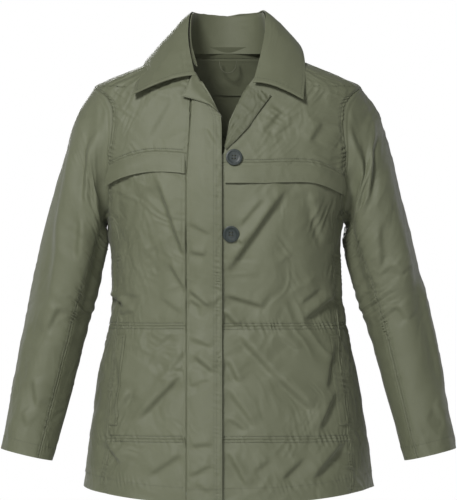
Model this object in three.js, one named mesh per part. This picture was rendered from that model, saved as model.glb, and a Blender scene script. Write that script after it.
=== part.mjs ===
// A thigh-short work jacket with a fly front, storm flaps on the chest and two-piece sleeves, empty and
// hanging as if on a wearer. Millimetres, +Z up, the front faces -Y and +X is the wearer's left.
// The origin is the middle of the wearer's neck base, which is what holds the jacket up.
import * as THREE from 'three';

// ---------------------------------------------------------------- driving dimensions
const FABRIC = 2;                 // thickness of one modelled layer of cloth
const SEAM_GAP = 1.2;             // space kept between panels that meet at a seam
const LAYER_GAP = 1;              // space kept between cloths that lie on each other
const HEM_Z = -700;               // front hem at the centre
const HEM_RISE = 20;              // how much higher the hem is at the side seams
const WAIST_Z = -423;             // waist seam
const ARMPIT_Z = -256;            // lowest point of the armhole
const SIDE_TOP_Z = -228;          // the back's side seam starts here, on the armhole
const SHOULDER_Z = -44;           // shoulder point
const BACK_YOKE_Z = -120;         // seam between back yoke and back panel
const ROUNDNESS = 2.4;            // exponent of the torso's cross-section
const ARMHOLE_DEPTH = 68;         // half the armhole, front to back
const FRONT_SLIP = 8;             // the right front hangs this much high, the left one this much low
const YOKE_SEAM_Z = -156;         // top of the chest seam that holds the storm flap
const FLAP_DROP = 32;             // free depth of a storm flap
const FLAP_RISE = 1;              // its sewn edge covers the seam by this much
const PLACKET_SEAM_X = -66;       // where the fly cover is sewn to the right front
const PLACKET_EDGE_X = -9;        // its free edge
const LEFT_EDGE_X = -45;          // edge of the left front, under the fly cover
const PLACKET_SPLIT_Z = -252;     // above this the fly cover stays with the yoke
const LEFT_SPLIT_Z = -286;        // above this the left front stays with the yoke
const OVERLAP_LIFT = 8.6;         // how far the fly cover stands off the left front
const BUTTON_RADIUS = 13;
const BUTTON_THICK = 3;
const BUTTON_PITCH = 120;
const FIRST_BUTTON_Z = -158;
const BUTTON_X = [9.6, 4.8, -28, -28, -28];   // the last three lie under the fly cover
const POCKET_TOP_Z = -440;
const POCKET_BOTTOM_Z = -580;
const ELBOW_REACH = 52;           // how far the front of the upper sleeve stops short of the elbow
const SLEEVE_SEAM = 122 * Math.PI / 180;   // seams of the two-piece sleeve, from its outer edge
const FOLD_RIGHT = { top: [-30, -125], bottom: [-186, -640] };  // x, z of the line the right front folds on
const FOLD_LEFT = { top: [0, -215], bottom: [186, -640] };
const FOLD_GAP = 3.4;
const FOLD_END_Z = -585;          // the still part of each front skirt ends here, at the side seam
const EDGE_START = 22;            // the folding part of a front starts this far under its split

const OLIVE = 0x676a53;
const OLIVE_INSIDE = 0x55583f;
const BUTTON_GREEN = 0x47524d;

// torso sections: height, half width, depth to the front, depth to the back
const TORSO = [
  [-720, 234, 166, 161], [-600, 220, 152, 148], [-500, 205, 138, 132], [-423, 187, 124, 118],
  [-380, 183, 122, 114], [-300, 185, 128, 116], [-252, 191, 130, 120], [-200, 208, 126, 122],
  [-147, 215, 116, 120], [-90, 219, 98, 108], [-44, 219, 80, 90], [16, 72, 56, 64], [40, 60, 48, 56],
];
// neckline of each front: height, distance from the middle
const NECK_RIGHT = [[-112, -14], [-105, -16], [-61, -28], [-22, -52], [14, -71]];
const NECK_LEFT = [[-150, -6], [-100, 2], [-52, 25], [-22, 48], [14, 71]];
// seam between the front and the side panel: height, distance from the middle
const SIDE_FRONT = [[-700, 197], [-560, 188], [-423, 174], [-300, 172], [-256, 176], [-225, 197], [-150, 219]];

// ---------------------------------------------------------------- helpers
const lerp = THREE.MathUtils.lerp;
const clamp = THREE.MathUtils.clamp;
const parts = new THREE.Group();

function along(stops, at, column = 1) {
  const last = stops.length - 1;
  if (at <= stops[0][0]) return stops[0][column];
  for (let i = 0; i < last; i += 1) {
    const [low, high] = [stops[i], stops[i + 1]];
    if (at <= high[0]) return lerp(low[column], high[column], (at - low[0]) / (high[0] - low[0]));
  }
  return stops[last][column];
}

function cloth(colour = OLIVE, roughness = 0.62) {
  return new THREE.MeshStandardMaterial({ color: colour, roughness, metalness: 0, side: THREE.FrontSide });
}

function addMesh(name, geometry, material) {
  const mesh = new THREE.Mesh(geometry, material);
  mesh.name = name;
  parts.add(mesh);
  return mesh;
}

// A closed shell between two offsets of a surface: point(u, v) gives the surface, u and v run 0 to 1.
function shell(point, { across, down, inner, outer, ring = false, flip = false }) {
  const STEP = 1e-3;
  const sign = flip ? -1 : 1;
  const columns = ring ? across : across + 1;
  const positions = [];
  for (const side of [outer, inner]) {
    for (let j = 0; j <= down; j += 1) {
      for (let i = 0; i < columns; i += 1) {
        const [u, v] = [i / across, j / down];
        const along0 = point(ring ? u - STEP : Math.max(u - STEP, 0), v);
        const along1 = point(ring ? u + STEP : Math.min(u + STEP, 1), v);
        const down0 = point(u, Math.max(v - STEP, 0));
        const down1 = point(u, Math.min(v + STEP, 1));
        const normal = along1.sub(along0).cross(down1.sub(down0)).normalize().multiplyScalar(sign);
        const offset = typeof side === 'function' ? side(u, v) : side;
        const here = point(u, v).addScaledVector(normal, offset);
        positions.push(here.x, here.y, here.z);
      }
    }
  }
  const layer = columns * (down + 1);
  const at = (side, i, j) => side * layer + j * columns + (ring ? i % columns : i);
  const faces = [];
  const quad = (a, b, c, d) => (flip ? faces.push(a, c, b, a, d, c) : faces.push(a, b, c, a, c, d));
  for (let j = 0; j < down; j += 1) {
    for (let i = 0; i < across; i += 1) {
      quad(at(0, i, j), at(0, i + 1, j), at(0, i + 1, j + 1), at(0, i, j + 1));
      quad(at(1, i, j + 1), at(1, i + 1, j + 1), at(1, i + 1, j), at(1, i, j));
    }
  }
  for (let i = 0; i < across; i += 1) {
    quad(at(0, i + 1, 0), at(0, i, 0), at(1, i, 0), at(1, i + 1, 0));
    quad(at(0, i, down), at(0, i + 1, down), at(1, i + 1, down), at(1, i, down));
  }
  for (let j = 0; j < down && !ring; j += 1) {
    quad(at(0, 0, j), at(0, 0, j + 1), at(1, 0, j + 1), at(1, 0, j));
    quad(at(0, across, j + 1), at(0, across, j), at(1, across, j), at(1, across, j + 1));
  }
  const geometry = new THREE.BufferGeometry();
  geometry.setAttribute('position', new THREE.Float32BufferAttribute(positions, 3));
  geometry.setIndex(faces);
  return geometry;
}

// ---------------------------------------------------------------- torso surface
// turn is 0 at the centre front, +90 degrees at the wearer's left side and 180 at the centre back
function torsoPoint(turn, z) {
  const power = 2 / ROUNDNESS;
  const [sine, cosine] = [Math.sin(turn), Math.cos(turn)];
  const depth = cosine >= 0 ? -along(TORSO, z, 2) : along(TORSO, z, 3);
  const x = Math.sign(sine) * along(TORSO, z) * Math.abs(sine) ** power;
  return new THREE.Vector3(x, depth * Math.abs(cosine) ** power, z);
}

// turn at which the front surface is x away from the middle
function frontTurn(x, z) {
  const share = clamp(Math.abs(x) / along(TORSO, z), 0, 1);
  return Math.sign(x) * Math.asin(share ** (ROUNDNESS / 2));
}

function backTurn(x, z) {
  return Math.sign(x) * (Math.PI - Math.abs(frontTurn(x, z)));
}

// turn of the armhole's front edge, 90 degrees above and below the armhole
function armholeTurn(z, depthColumn = 2) {
  const middle = (ARMPIT_Z + SHOULDER_Z) / 2;
  const half = (SHOULDER_Z - ARMPIT_Z) / 2;
  const height = Math.min(Math.abs((z - middle) / half), 1);
  const opening = ARMHOLE_DEPTH * (1 - height ** 3) ** (1 / 3);
  return Math.acos((opening / along(TORSO, z, depthColumn)) ** (ROUNDNESS / 2));
}

function yokeSeam(side, x) {
  const reach = Math.max(Math.abs(x), 60) - 115;
  const fall = reach > 0 ? 15 * (reach / 75) ** 2 : 4 * (reach / 50) ** 2;
  return YOKE_SEAM_Z - side * FRONT_SLIP - fall;
}

function hemAt(turn) {
  return HEM_Z + HEM_RISE * Math.sin(turn) ** 2;
}

function foldX(fold, z) {
  const share = (z - fold.top[1]) / (fold.bottom[1] - fold.top[1]);
  return lerp(fold.top[0], fold.bottom[0], share);
}

// A panel of the torso between two turns, and between a bottom and a top height.
function panel(name, { from, to, bottom, top, across, down, layer = 0, thick = FABRIC, colour = OLIVE }) {
  const point = (u, v) => {
    let z = lerp(top(0), bottom(0), v);
    let turn = 0;
    for (let pass = 0; pass < 6; pass += 1) {
      turn = lerp(from(z), to(z), u);
      z = lerp(top(turn, z), bottom(turn, z), v);
    }
    return torsoPoint(turn, z);
  };
  const outer = typeof layer === 'function' ? (u, v) => layer(u, v) + thick : layer + thick;
  const geometry = shell(point, { across, down, inner: layer, outer, flip: true });
  return addMesh(name, geometry, cloth(colour));
}

const half = SEAM_GAP / 2;
const flat = (z) => () => z;
const frontX = (turn, z) => torsoPoint(turn, z).x;
const seamTurn = (side, z, shift = 0) => side * frontTurn(along(SIDE_FRONT, z) + shift, z);
const backSeamX = (z) => along(TORSO, z) * 0.9;
const degree = Math.PI / 180;

// ---------------------------------------------------------------- back and sides
function makeBack() {
  const shoulder = (z) => (z > SHOULDER_Z ? Math.PI / 2 : armholeTurn(z, 3));
  const edge = (z) => Math.PI - shoulder(z) + 0.012;
  const whole = (limit) => ({ from: (z) => limit(z), to: (z) => 2 * Math.PI - limit(z) });
  panel('back_yoke', {
    ...whole(edge), bottom: flat(BACK_YOKE_Z + half), top: flat(14), across: 16, down: 9,
  });
  const sideSeam = (z) => backTurn(backSeamX(z), z) + 0.006;
  panel('back_panel', {
    ...whole((z) => Math.max(z > ARMPIT_Z ? edge(z) : 0, z < SIDE_TOP_Z ? sideSeam(z) : 0)),
    bottom: flat(WAIST_Z + half), top: flat(BACK_YOKE_Z - half), across: 12, down: 12,
  });
  panel('back_skirt', {
    ...whole(sideSeam), bottom: (turn) => hemAt(turn), top: flat(WAIST_Z - half), across: 14, down: 8,
  });
  panel('waist_elastic', {
    from: (z) => backTurn(150, z), to: (z) => 2 * Math.PI - backTurn(150, z),
    bottom: flat(WAIST_Z - 6), top: flat(WAIST_Z + 6), across: 10, down: 1,
    layer: -LAYER_GAP - 1.5, thick: 1.5, colour: OLIVE_INSIDE,
  });
  panel('back_neck_facing', {
    from: (z) => backTurn(60, z), to: (z) => 2 * Math.PI - backTurn(60, z),
    bottom: flat(-52), top: flat(8), across: 10, down: 4,
    layer: -LAYER_GAP - FABRIC, colour: OLIVE_INSIDE,
  });
}

function makeSide(side, tag) {
  const front = (z) => seamTurn(side, z) + side * 0.007;
  const back = (z) => side * (backTurn(backSeamX(z), z) - 0.006);
  const order = side > 0 ? { from: front, to: back } : { from: back, to: front };
  panel(`side_panel_${tag}`, {
    ...order, bottom: flat(WAIST_Z + half), top: flat(ARMPIT_Z - 8), across: 7, down: 7,
  });
  panel(`side_skirt_${tag}`, {
    ...order, bottom: (turn) => hemAt(turn), top: flat(WAIST_Z - half), across: 7, down: 8,
  });
}

// ---------------------------------------------------------------- fronts
function makeFront(side, tag) {
  const right = side < 0;
  const fold = right ? FOLD_RIGHT : FOLD_LEFT;
  const neck = right ? NECK_RIGHT : NECK_LEFT;
  const split = right ? PLACKET_SPLIT_Z : LEFT_SPLIT_Z;
  const closing = right ? PLACKET_SEAM_X - half : LEFT_EDGE_X;
  const ordered = (centre, outside) => (right ? { from: outside, to: centre } : { from: centre, to: outside });
  const armhole = (z) => side * (z > SHOULDER_Z ? Math.PI / 2 - 0.012 : armholeTurn(z) - 0.012);
  const seam = (z) => seamTurn(side, z) - side * 0.007;
  const outside = (z) => side * Math.min(Math.abs(armhole(z)), Math.abs(seam(z)));

  const neckEdge = (z) => (z < neck[0][0] ? frontTurn(closing, z) : frontTurn(along(neck, z), z));
  panel(`front_yoke_${tag}`, {
    ...ordered(neckEdge, armhole),
    bottom: (turn, z = YOKE_SEAM_Z) => yokeSeam(side, frontX(turn, z)) + half,
    top: flat(12), across: 9, down: 10,
  });
  const foldEdge = (z) => frontTurn(foldX(fold, z), z);
  const still = (z) => (z > split ? frontTurn(closing, z) : foldEdge(z) + side * 0.01);
  panel(`front_panel_${tag}`, {
    ...ordered(still, outside), bottom: flat(WAIST_Z + half),
    top: (turn, z = YOKE_SEAM_Z) => yokeSeam(side, frontX(turn, z)) - half, across: 7, down: 14,
  });
  panel(`front_skirt_${tag}`, {
    ...ordered((z) => foldEdge(z) + side * 0.01, seam), bottom: flat(FOLD_END_Z), top: flat(WAIST_Z - half),
    across: 5, down: 6,
  });
  const moving = (z) => foldEdge(z) - side * FOLD_GAP / along(TORSO, z);
  panel(`front_edge_${tag}`, {
    ...ordered((z) => frontTurn(closing, z), moving), bottom: flat(WAIST_Z + half),
    top: flat(split - EDGE_START), across: 6, down: 7,
  });
  panel(`skirt_edge_${tag}`, {
    ...ordered((z) => frontTurn(closing, z), (z) => (z < FOLD_END_Z - 10 ? seam(z) : moving(z))),
    bottom: (turn) => hemAt(turn), top: flat(WAIST_Z - half), across: 9, down: 10,
  });
}

function makeFly() {
  const rise = (u) => lerp(FABRIC, OVERLAP_LIFT, clamp(u * 3, 0, 1)) + LAYER_GAP;
  const strip = (name, x0, x1, top, bottom, layer, thick, colour, down) => panel(name, {
    from: (z) => frontTurn(x0, z), to: (z) => frontTurn(x1, z), top: flat(top), bottom, across: 4, down,
    layer, thick, colour,
  });
  const [x0, x1] = [PLACKET_SEAM_X, PLACKET_EDGE_X];
  strip('fly_cover_top_R', x0, x1, -114, flat(PLACKET_SPLIT_Z + half), rise, FABRIC, OLIVE, 6);
  strip('fly_cover_R', x0, x1, PLACKET_SPLIT_Z - half, flat(HEM_Z - 4), rise, FABRIC, OLIVE, 14);
  strip('buttonhole_strip_R', x0 + 26, x1 - 4, PLACKET_SPLIT_Z - 14, flat(HEM_Z + 12), OVERLAP_LIFT - 1.3, 1.2,
    OLIVE_INSIDE, 14);
  strip('button_stand_L', LEFT_EDGE_X + 1, LEFT_EDGE_X + 62, LEFT_SPLIT_Z - 14, flat(HEM_Z + 6),
    -LAYER_GAP - FABRIC, FABRIC, OLIVE_INSIDE, 14);
}

function makeFlap(side, tag) {
  const inner = side < 0 ? PLACKET_SEAM_X - 3 : BUTTON_X[0] + BUTTON_RADIUS + 4;
  const outer = (z) => side * (armholeTurn(z) - 0.03);
  const [from, to] = side < 0 ? [outer, (z) => frontTurn(inner, z)] : [(z) => frontTurn(inner, z), outer];
  const seam = (turn, z = YOKE_SEAM_Z) => yokeSeam(side, frontX(turn, z)) + FLAP_RISE;
  panel(`storm_flap_${tag}`, {
    from, to, top: seam, bottom: (turn, z) => seam(turn, z) - FLAP_DROP, across: 10, down: 3,
    layer: FABRIC + LAYER_GAP, thick: FABRIC,
  });
}

function makeLapels() {
  const lapel = (name, points) => {
    const layer = FABRIC + LAYER_GAP;
    const [a, b, c, d] = points;
    const point = (u, v) => {
      const x = lerp(lerp(a[0], b[0], u), lerp(d[0], c[0], u), v);
      const z = lerp(lerp(a[1], b[1], u), lerp(d[1], c[1], u), v);
      return torsoPoint(frontTurn(x, z), z);
    };
    addMesh(name, shell(point, { across: 4, down: 6, inner: layer, outer: layer + FABRIC, flip: true }), cloth());
  };
  // corners: outer top, inner top, inner bottom, outer bottom, each as x and height
  lapel('lapel_R', [[-70, -60], [-54, -44], [-20, -106], [-34, -98]]);
  lapel('lapel_L', [[66, -60], [36, -46], [0, -146], [12, -142]]);
}

// ---------------------------------------------------------------- collar
// each curve runs from the centre back round the wearer's left side to the front
const COLLAR_BASE = [[0, 66, 22], [45, 48, 21], [68, 4, 22], [60, -42, 12], [51, -58, -4]];
const COLLAR_ROLL = [[0, 63, 73], [42, 46, 75], [59, 8, 71], [59, -34, 31], [49, -66, -4]];
const FALL_ROLL = [[0, 68, 74], [46, 50, 76], [64, 9, 72], [64, -38, 32], [54, -80, -18]];
const FALL_EDGE = [[0, 92, 14], [82, 68, 18], [126, 6, 10], [152, -46, -10], [146, -86, -60]];

function bothSides(points) {
  const left = points.slice(1).map(([x, y, z]) => new THREE.Vector3(x, y, z));
  const right = left.map((p) => new THREE.Vector3(-p.x, p.y, p.z)).reverse();
  return new THREE.CatmullRomCurve3([...right, new THREE.Vector3(...points[0]), ...left]);
}

function makeCollar() {
  const [base, roll, fallRoll, fallEdge] = [COLLAR_BASE, COLLAR_ROLL, FALL_ROLL, FALL_EDGE].map(bothSides);
  const between = (low, high, start, end, bow) => (u, v) => {
    const s = lerp(start, end, u);
    const point = low.getPoint(s).lerp(high.getPoint(s), v);
    point.z += bow * Math.sin(Math.PI * v);
    return point;
  };
  const leaf = (name, start, end, across) => addMesh(name, shell(between(fallRoll, fallEdge, start, end, 5), {
    across, down: 6, inner: 0, outer: FABRIC, flip: false,
  }), cloth());
  addMesh('collar_stand', shell(between(base, roll, 0, 1, 0), {
    across: 26, down: 2, inner: -1, outer: 1, flip: true,
  }), cloth(OLIVE_INSIDE));
  leaf('collar_fall_back', 0.256, 0.744, 10);
  leaf('collar_wing_R', 0, 0.25, 8);
  leaf('collar_wing_L', 0.75, 1, 8);
}

function makeHangerLoop() {
  const width = 28;
  const top = 2;
  const deep = 57;
  const path = new THREE.CatmullRomCurve3([
    new THREE.Vector3(-width / 2, deep, top), new THREE.Vector3(-width / 3, deep, top - 15),
    new THREE.Vector3(0, deep, top - 20), new THREE.Vector3(width / 3, deep, top - 15),
    new THREE.Vector3(width / 2, deep, top),
  ]);
  const section = new THREE.Shape();
  section.absarc(0, 0, 1.6, 0, Math.PI * 2);
  const geometry = new THREE.ExtrudeGeometry(section, { steps: 12, extrudePath: path, curveSegments: 3 });
  addMesh('hanger_loop', geometry, cloth(OLIVE_INSIDE));
}

// ---------------------------------------------------------------- pockets
function makePocket(side, tag) {
  const edge = (z, inset) => seamTurn(side, z, -inset);
  const strip = (a, b) => (side < 0 ? { from: (z) => edge(z, b), to: (z) => edge(z, a) }
    : { from: (z) => edge(z, a), to: (z) => edge(z, b) });
  panel(`pocket_welt_${tag}`, {
    ...strip(13, 2), bottom: flat(POCKET_BOTTOM_Z), top: flat(POCKET_TOP_Z), across: 2, down: 7,
    layer: FABRIC + LAYER_GAP, thick: FABRIC,
  });
  panel(`pocket_bag_${tag}`, {
    ...strip(110, 6), bottom: flat(POCKET_BOTTOM_Z - 40), top: flat(POCKET_TOP_Z + 4), across: 6, down: 8,
    layer: -LAYER_GAP - 3 - FABRIC - LAYER_GAP, thick: 3, colour: OLIVE_INSIDE,
  });
}

// ---------------------------------------------------------------- buttons
function placeOn(mesh, x, z, lift) {
  const STEP = 0.5;
  const here = torsoPoint(frontTurn(x, z), z);
  const right = torsoPoint(frontTurn(x + STEP, z), z).sub(here);
  const up = torsoPoint(frontTurn(x, z + STEP), z + STEP).sub(here);
  const normal = right.cross(up).normalize();
  mesh.quaternion.setFromUnitVectors(new THREE.Vector3(0, 0, 1), normal);
  mesh.position.copy(here).addScaledVector(normal, lift);
}

function makeButton(number, x) {
  const z = FIRST_BUTTON_Z - (number - 1) * BUTTON_PITCH;
  const circle = (cx, cy, radius, count) => Array.from({ length: count }, (_, i) => {
    const angle = 2 * Math.PI * i / count;
    return new THREE.Vector2(cx + radius * Math.cos(angle), cy + radius * Math.sin(angle));
  });
  const disc = new THREE.Shape(circle(0, 0, BUTTON_RADIUS, 24));
  for (const [dx, dy] of [[-1, -1], [-1, 1], [1, -1], [1, 1]]) {
    disc.holes.push(new THREE.Path(circle(dx * 2.2, dy * 2.2, 1.1, 6).reverse()));
  }
  const button = new THREE.MeshStandardMaterial({ color: BUTTON_GREEN, roughness: 0.25, metalness: 0 });
  const lift = FABRIC + 1.2;
  const geometry = new THREE.ExtrudeGeometry(disc, { depth: BUTTON_THICK, bevelEnabled: false });
  placeOn(addMesh(`button_${number}`, geometry, button), x, z, lift);
  const shank = new THREE.CylinderGeometry(3, 3, 0.6, 10).rotateX(Math.PI / 2);
  placeOn(addMesh(`button_thread_${number}`, shank, cloth(OLIVE_INSIDE)), x, z, lift - 0.6);
}

// ---------------------------------------------------------------- sleeves
// outer and inner outline of the upper sleeve as x and height, then its half depth
const UPPER_OUTER = [[213, -49], [239, -88], [262, -160], [287, -250], [305, -326], [322, -407]];
const UPPER_INNER = [[195, -259], [198, -270], [200, -292], [203, -332], [212, -385], [227, -432]];
const UPPER_DEPTH = [[0, 61], [0.4, 62], [0.7, 60], [1, 56]];
const ELBOW = new THREE.Vector3(274.5, 3, -419.5);
const CUFF = new THREE.Vector3(322, -22, -628.5);
const FOREARM_TOP = [44.5, 50];       // half width and half depth at the elbow
const FOREARM_END = [41, 45];
const DOME = 27;                      // the forearm's rounded top reaches this far above the elbow
const CUFF_HEM = 23;

function outline(points) {
  return new THREE.CatmullRomCurve3(points.map(([x, z]) => new THREE.Vector3(x, 0, z)));
}

function upperSleevePoint(side) {
  const outer = outline(UPPER_OUTER);
  const inner = outline(UPPER_INNER);
  return (angle, t) => {
    const [a, b] = [outer.getPoint(t), inner.getPoint(t)];
    const middle = a.clone().add(b).multiplyScalar(0.5);
    const reach = a.clone().sub(b).multiplyScalar(0.5);
    const downward = new THREE.Vector3(reach.z, 0, -reach.x).normalize();
    const fade = clamp((t - 0.75) * 4, 0, 1);
    const slide = -fade * ELBOW_REACH * (0.45 + 0.55 * Math.sin(angle));
    const point = middle.addScaledVector(reach, Math.cos(angle)).addScaledVector(downward, slide);
    point.y = ELBOW.y * t - along(UPPER_DEPTH, t) * Math.sin(angle);
    point.x *= side;
    return point;
  };
}

function forearmPoint(side) {
  const direction = CUFF.clone().sub(ELBOW);
  const length = direction.length();
  const across = new THREE.Vector3(0.967, 0, 0.2547);
  return (angle, t) => {
    const distance = lerp(-DOME, length, t);
    const shrink = distance < 0 ? Math.sqrt(1 - (distance / FOREARM_TOP[1]) ** 2) : 1;
    const share = Math.max(distance, 0) / length;
    const wide = lerp(FOREARM_TOP[0], FOREARM_END[0], share) * shrink;
    const deep = lerp(FOREARM_TOP[1], FOREARM_END[1], share) * shrink;
    const point = ELBOW.clone().addScaledVector(direction, distance / length);
    point.addScaledVector(across, wide * Math.cos(angle));
    point.y -= deep * Math.sin(angle);
    point.x *= side;
    return point;
  };
}

function makeSleeve(side, tag) {
  const GAP = 0.014;
  const tube = (name, surface, start, end, t0, t1, across, down, layer = 0, colour = OLIVE) => {
    const point = (u, v) => surface(lerp(start, end, u), lerp(t0, t1, v));
    const options = { across, down, inner: layer - FABRIC, outer: layer, flip: side > 0 };
    addMesh(name, shell(point, { ...options, ring: end - start > 6.2 }), cloth(colour));
  };
  const upper = upperSleevePoint(side);
  const lower = forearmPoint(side);
  const [under0, under1] = [SLEEVE_SEAM + GAP, 2 * Math.PI - SLEEVE_SEAM - GAP];
  tube(`upper_sleeve_${tag}`, upper, -SLEEVE_SEAM + GAP, SLEEVE_SEAM - GAP, 0, 1, 11, 10);
  tube(`upper_undersleeve_${tag}`, upper, under0, under1, 0, 1, 5, 10);
  tube(`lower_sleeve_${tag}`, lower, -SLEEVE_SEAM + GAP, SLEEVE_SEAM - GAP, 0, 1, 11, 7);
  tube(`lower_undersleeve_${tag}`, lower, under0, under1, 0, 1, 5, 7);
  const hemStart = 1 - CUFF_HEM / (CUFF.distanceTo(ELBOW) + DOME);
  tube(`cuff_facing_${tag}`, lower, 0, 2 * Math.PI, hemStart, 0.995, 16, 1, -FABRIC - LAYER_GAP, OLIVE_INSIDE);
}

// ---------------------------------------------------------------- the whole jacket
makeBack();
for (const [side, tag] of [[-1, 'R'], [1, 'L']]) {
  makeSide(side, tag);
  makeFront(side, tag);
  makeFlap(side, tag);
  makePocket(side, tag);
  makeSleeve(side, tag);
}
makeFly();
makeLapels();
makeCollar();
makeHangerLoop();
BUTTON_X.forEach((x, index) => makeButton(index + 1, x));

export default parts;
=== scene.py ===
"""An olive field jacket with a fly front, storm flaps and two-piece sleeves, hanging empty as if worn.

Lengths are millimetres until a mesh is made, which is in metres. Heights are z, the front faces -y and
+x is the wearer's left. On the torso, turn is the angle round the body: 0 at the centre front, +90 degrees
at the wearer's left side and 180 degrees at the centre back.
"""
import math

import bpy
import numpy as np
from mathutils import Matrix, Vector


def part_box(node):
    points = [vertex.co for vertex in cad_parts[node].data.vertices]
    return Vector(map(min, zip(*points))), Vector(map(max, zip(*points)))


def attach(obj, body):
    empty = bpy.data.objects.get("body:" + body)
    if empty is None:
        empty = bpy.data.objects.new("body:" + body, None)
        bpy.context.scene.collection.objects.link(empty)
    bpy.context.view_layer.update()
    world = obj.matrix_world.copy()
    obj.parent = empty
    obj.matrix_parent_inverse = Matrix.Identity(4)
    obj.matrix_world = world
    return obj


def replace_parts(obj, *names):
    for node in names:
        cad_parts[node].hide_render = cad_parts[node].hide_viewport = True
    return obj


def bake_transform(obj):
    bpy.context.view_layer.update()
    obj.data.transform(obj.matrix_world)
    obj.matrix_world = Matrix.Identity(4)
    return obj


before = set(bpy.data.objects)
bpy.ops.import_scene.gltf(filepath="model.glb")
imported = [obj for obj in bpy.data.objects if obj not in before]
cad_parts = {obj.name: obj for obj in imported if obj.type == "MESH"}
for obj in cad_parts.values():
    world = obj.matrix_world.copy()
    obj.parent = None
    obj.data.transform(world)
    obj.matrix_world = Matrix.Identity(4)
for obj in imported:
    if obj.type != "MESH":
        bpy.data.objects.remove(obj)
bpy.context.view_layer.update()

# ---------------------------------------------------------------- sizes
MM = 0.001
CLOTH = 0.9                  # thickness of one layer of the shell cloth
FRONT_STEP = 2.3             # mesh spacing of the fronts and sleeves
BACK_STEP = 3.2              # mesh spacing of the back and the inner pieces
BASE = 1.5                   # the cloth's outer face stands this far off the torso's form
HEM_Z, HEM_RISE = -700, 20
WAIST_Z = -423
LOWER_SEAM_Z = -600          # seam between front skirt and hem band
BACK_YOKE_Z = -120
SHOULDER_Z, ARMPIT_Z = -44, -256
SIDE_TOP_Z = -213            # the back's side seam meets the armhole here
ARMHOLE_DEPTH = 68           # half the armhole, front to back
ROUNDNESS = 2.4              # exponent of the torso's cross-section
FLAP_DROP = 33
FLY_SEAM_X, FLY_EDGE_X = -66, -9
LEFT_EDGE_X = -45
STITCH_GAP = 4.6             # from a seam to the topstitching beside it
SEAM_REACH, RUB_AND_HIGHLIGHT_REACH = 1.7, 2.2   # how far the marks beside sewn and free edges reach
FAR = 1000.0                 # further than any edge
SHARP_ANGLE = math.radians(62)
LOOSE = 0.004                # turn by which the body's panels lap over the armhole
POCKET_TOP_Z, POCKET_BOTTOM_Z = -438, -580
HEM_STITCH, CUFF_STITCH = 24, 23
BUTTON_X = [9.6, 4.8, -28, -28, -28]      # the last three lie under the fly cover
FIRST_BUTTON_Z, BUTTON_PITCH = -158, 120
RIGHT, LEFT = -1, 1

# height, half width, depth to the front, depth to the back
TORSO = np.array([
    [-720, 234, 166, 161], [-600, 220, 152, 148], [-500, 205, 138, 132], [-423, 187, 124, 118],
    [-380, 183, 122, 114], [-300, 185, 128, 116], [-252, 191, 130, 120], [-200, 208, 126, 122],
    [-147, 215, 116, 120], [-90, 219, 98, 108], [-44, 219, 80, 90], [16, 72, 56, 64], [40, 60, 48, 56],
])
# height, distance from the middle of each front's inner edge
INNER_EDGE = {
    RIGHT: np.array([
        [-423, -65], [-190, -65.5], [-110, -60], [-60, -57], [-42, -59], [-22, -52], [14, -71],
    ]),
    LEFT: np.array([[-190, -45], [-150, -6], [-100, 2], [-52, 25], [-22, 48], [14, 71]]),
}
# height, distance from the middle of the fly cover's free edge
FLY_EDGE = np.array([[-704, -9], [-112, -10], [-96, -11], [-61, -28], [-36, -43]])
# height, distance from the middle of the seam between front and side
SIDE_FRONT = np.array([
    [-700, 197], [-560, 188], [-423, 174], [-300, 172], [-256, 176], [-225, 197], [-150, 219],
])

# ---------------------------------------------------------------- numbers and noise


def ease(value):
    value = np.clip(value, 0, 1)
    return value * value * (3 - 2 * value)


def mix(a, b, share):
    return a + (b - a) * share


def table(stops, at, column=1, blur=9):
    """Reads a column of a table of stops, with its corners rounded over blur."""
    shifts = np.linspace(-blur, blur, 5)
    return sum(np.interp(at + shift, stops[:, 0], stops[:, column]) for shift in shifts) / len(shifts)


def curve(points, at):
    """A smooth line through points; at counts the points from 0."""
    points = np.asarray(points, float).reshape(len(points), -1)
    ends = np.vstack([2 * points[0] - points[1], points, 2 * points[-1] - points[-2]])
    cell = np.clip(np.floor(at).astype(int), 0, len(points) - 2)
    t = (at - cell)[..., None]
    a, b, c, d = (ends[cell + k] for k in range(4))
    bend, twist = 2 * a - 5 * b + 4 * c - d, 3 * b - a - 3 * c + d
    return 0.5 * (2 * b + (c - a) * t + bend * t ** 2 + twist * t ** 3)


def noise(a, b, seed):
    """Smooth random heights from -1 to 1, a new one each unit of a and b."""
    side = 64
    cells = np.random.default_rng(seed).uniform(-1, 1, (side, side))
    a, b = np.broadcast_arrays(a, b)
    i, j = np.floor(a).astype(int), np.floor(b).astype(int)
    s, t = ease(a - i), ease(b - j)
    low = mix(cells[i % side, j % side], cells[(i + 1) % side, j % side], s)
    high = mix(cells[i % side, (j + 1) % side], cells[(i + 1) % side, (j + 1) % side], s)
    return mix(low, high, t)


def crumple(a, b, seed, size=1.0):
    """The shallow, sharp-edged creases of a thin crisp cloth."""
    total = 0
    for number, (turn, long, short, weight) in enumerate([
            (0.5, 95, 30, 1.0), (2.3, 80, 24, 0.9), (1.2, 60, 14, 0.8), (2.8, 44, 10, 0.65),
            (0.9, 34, 8, 0.4), (1.9, 28, 7, 0.35)]):
        p = a * math.cos(turn) + b * math.sin(turn)
        q = b * math.cos(turn) - a * math.sin(turn)
        q = q + 14 * noise(p / 50, q / 50, seed + 40 + number)
        ridge = np.abs(noise(p / long, q / short, seed + number))
        where = ease(0.22 + 1.3 * noise(p / 62, q / 62, seed + 20 + number))
        total = total + weight * where * (0.35 - np.sqrt(ridge ** 2 + 0.0008))
    return size * total


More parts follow.
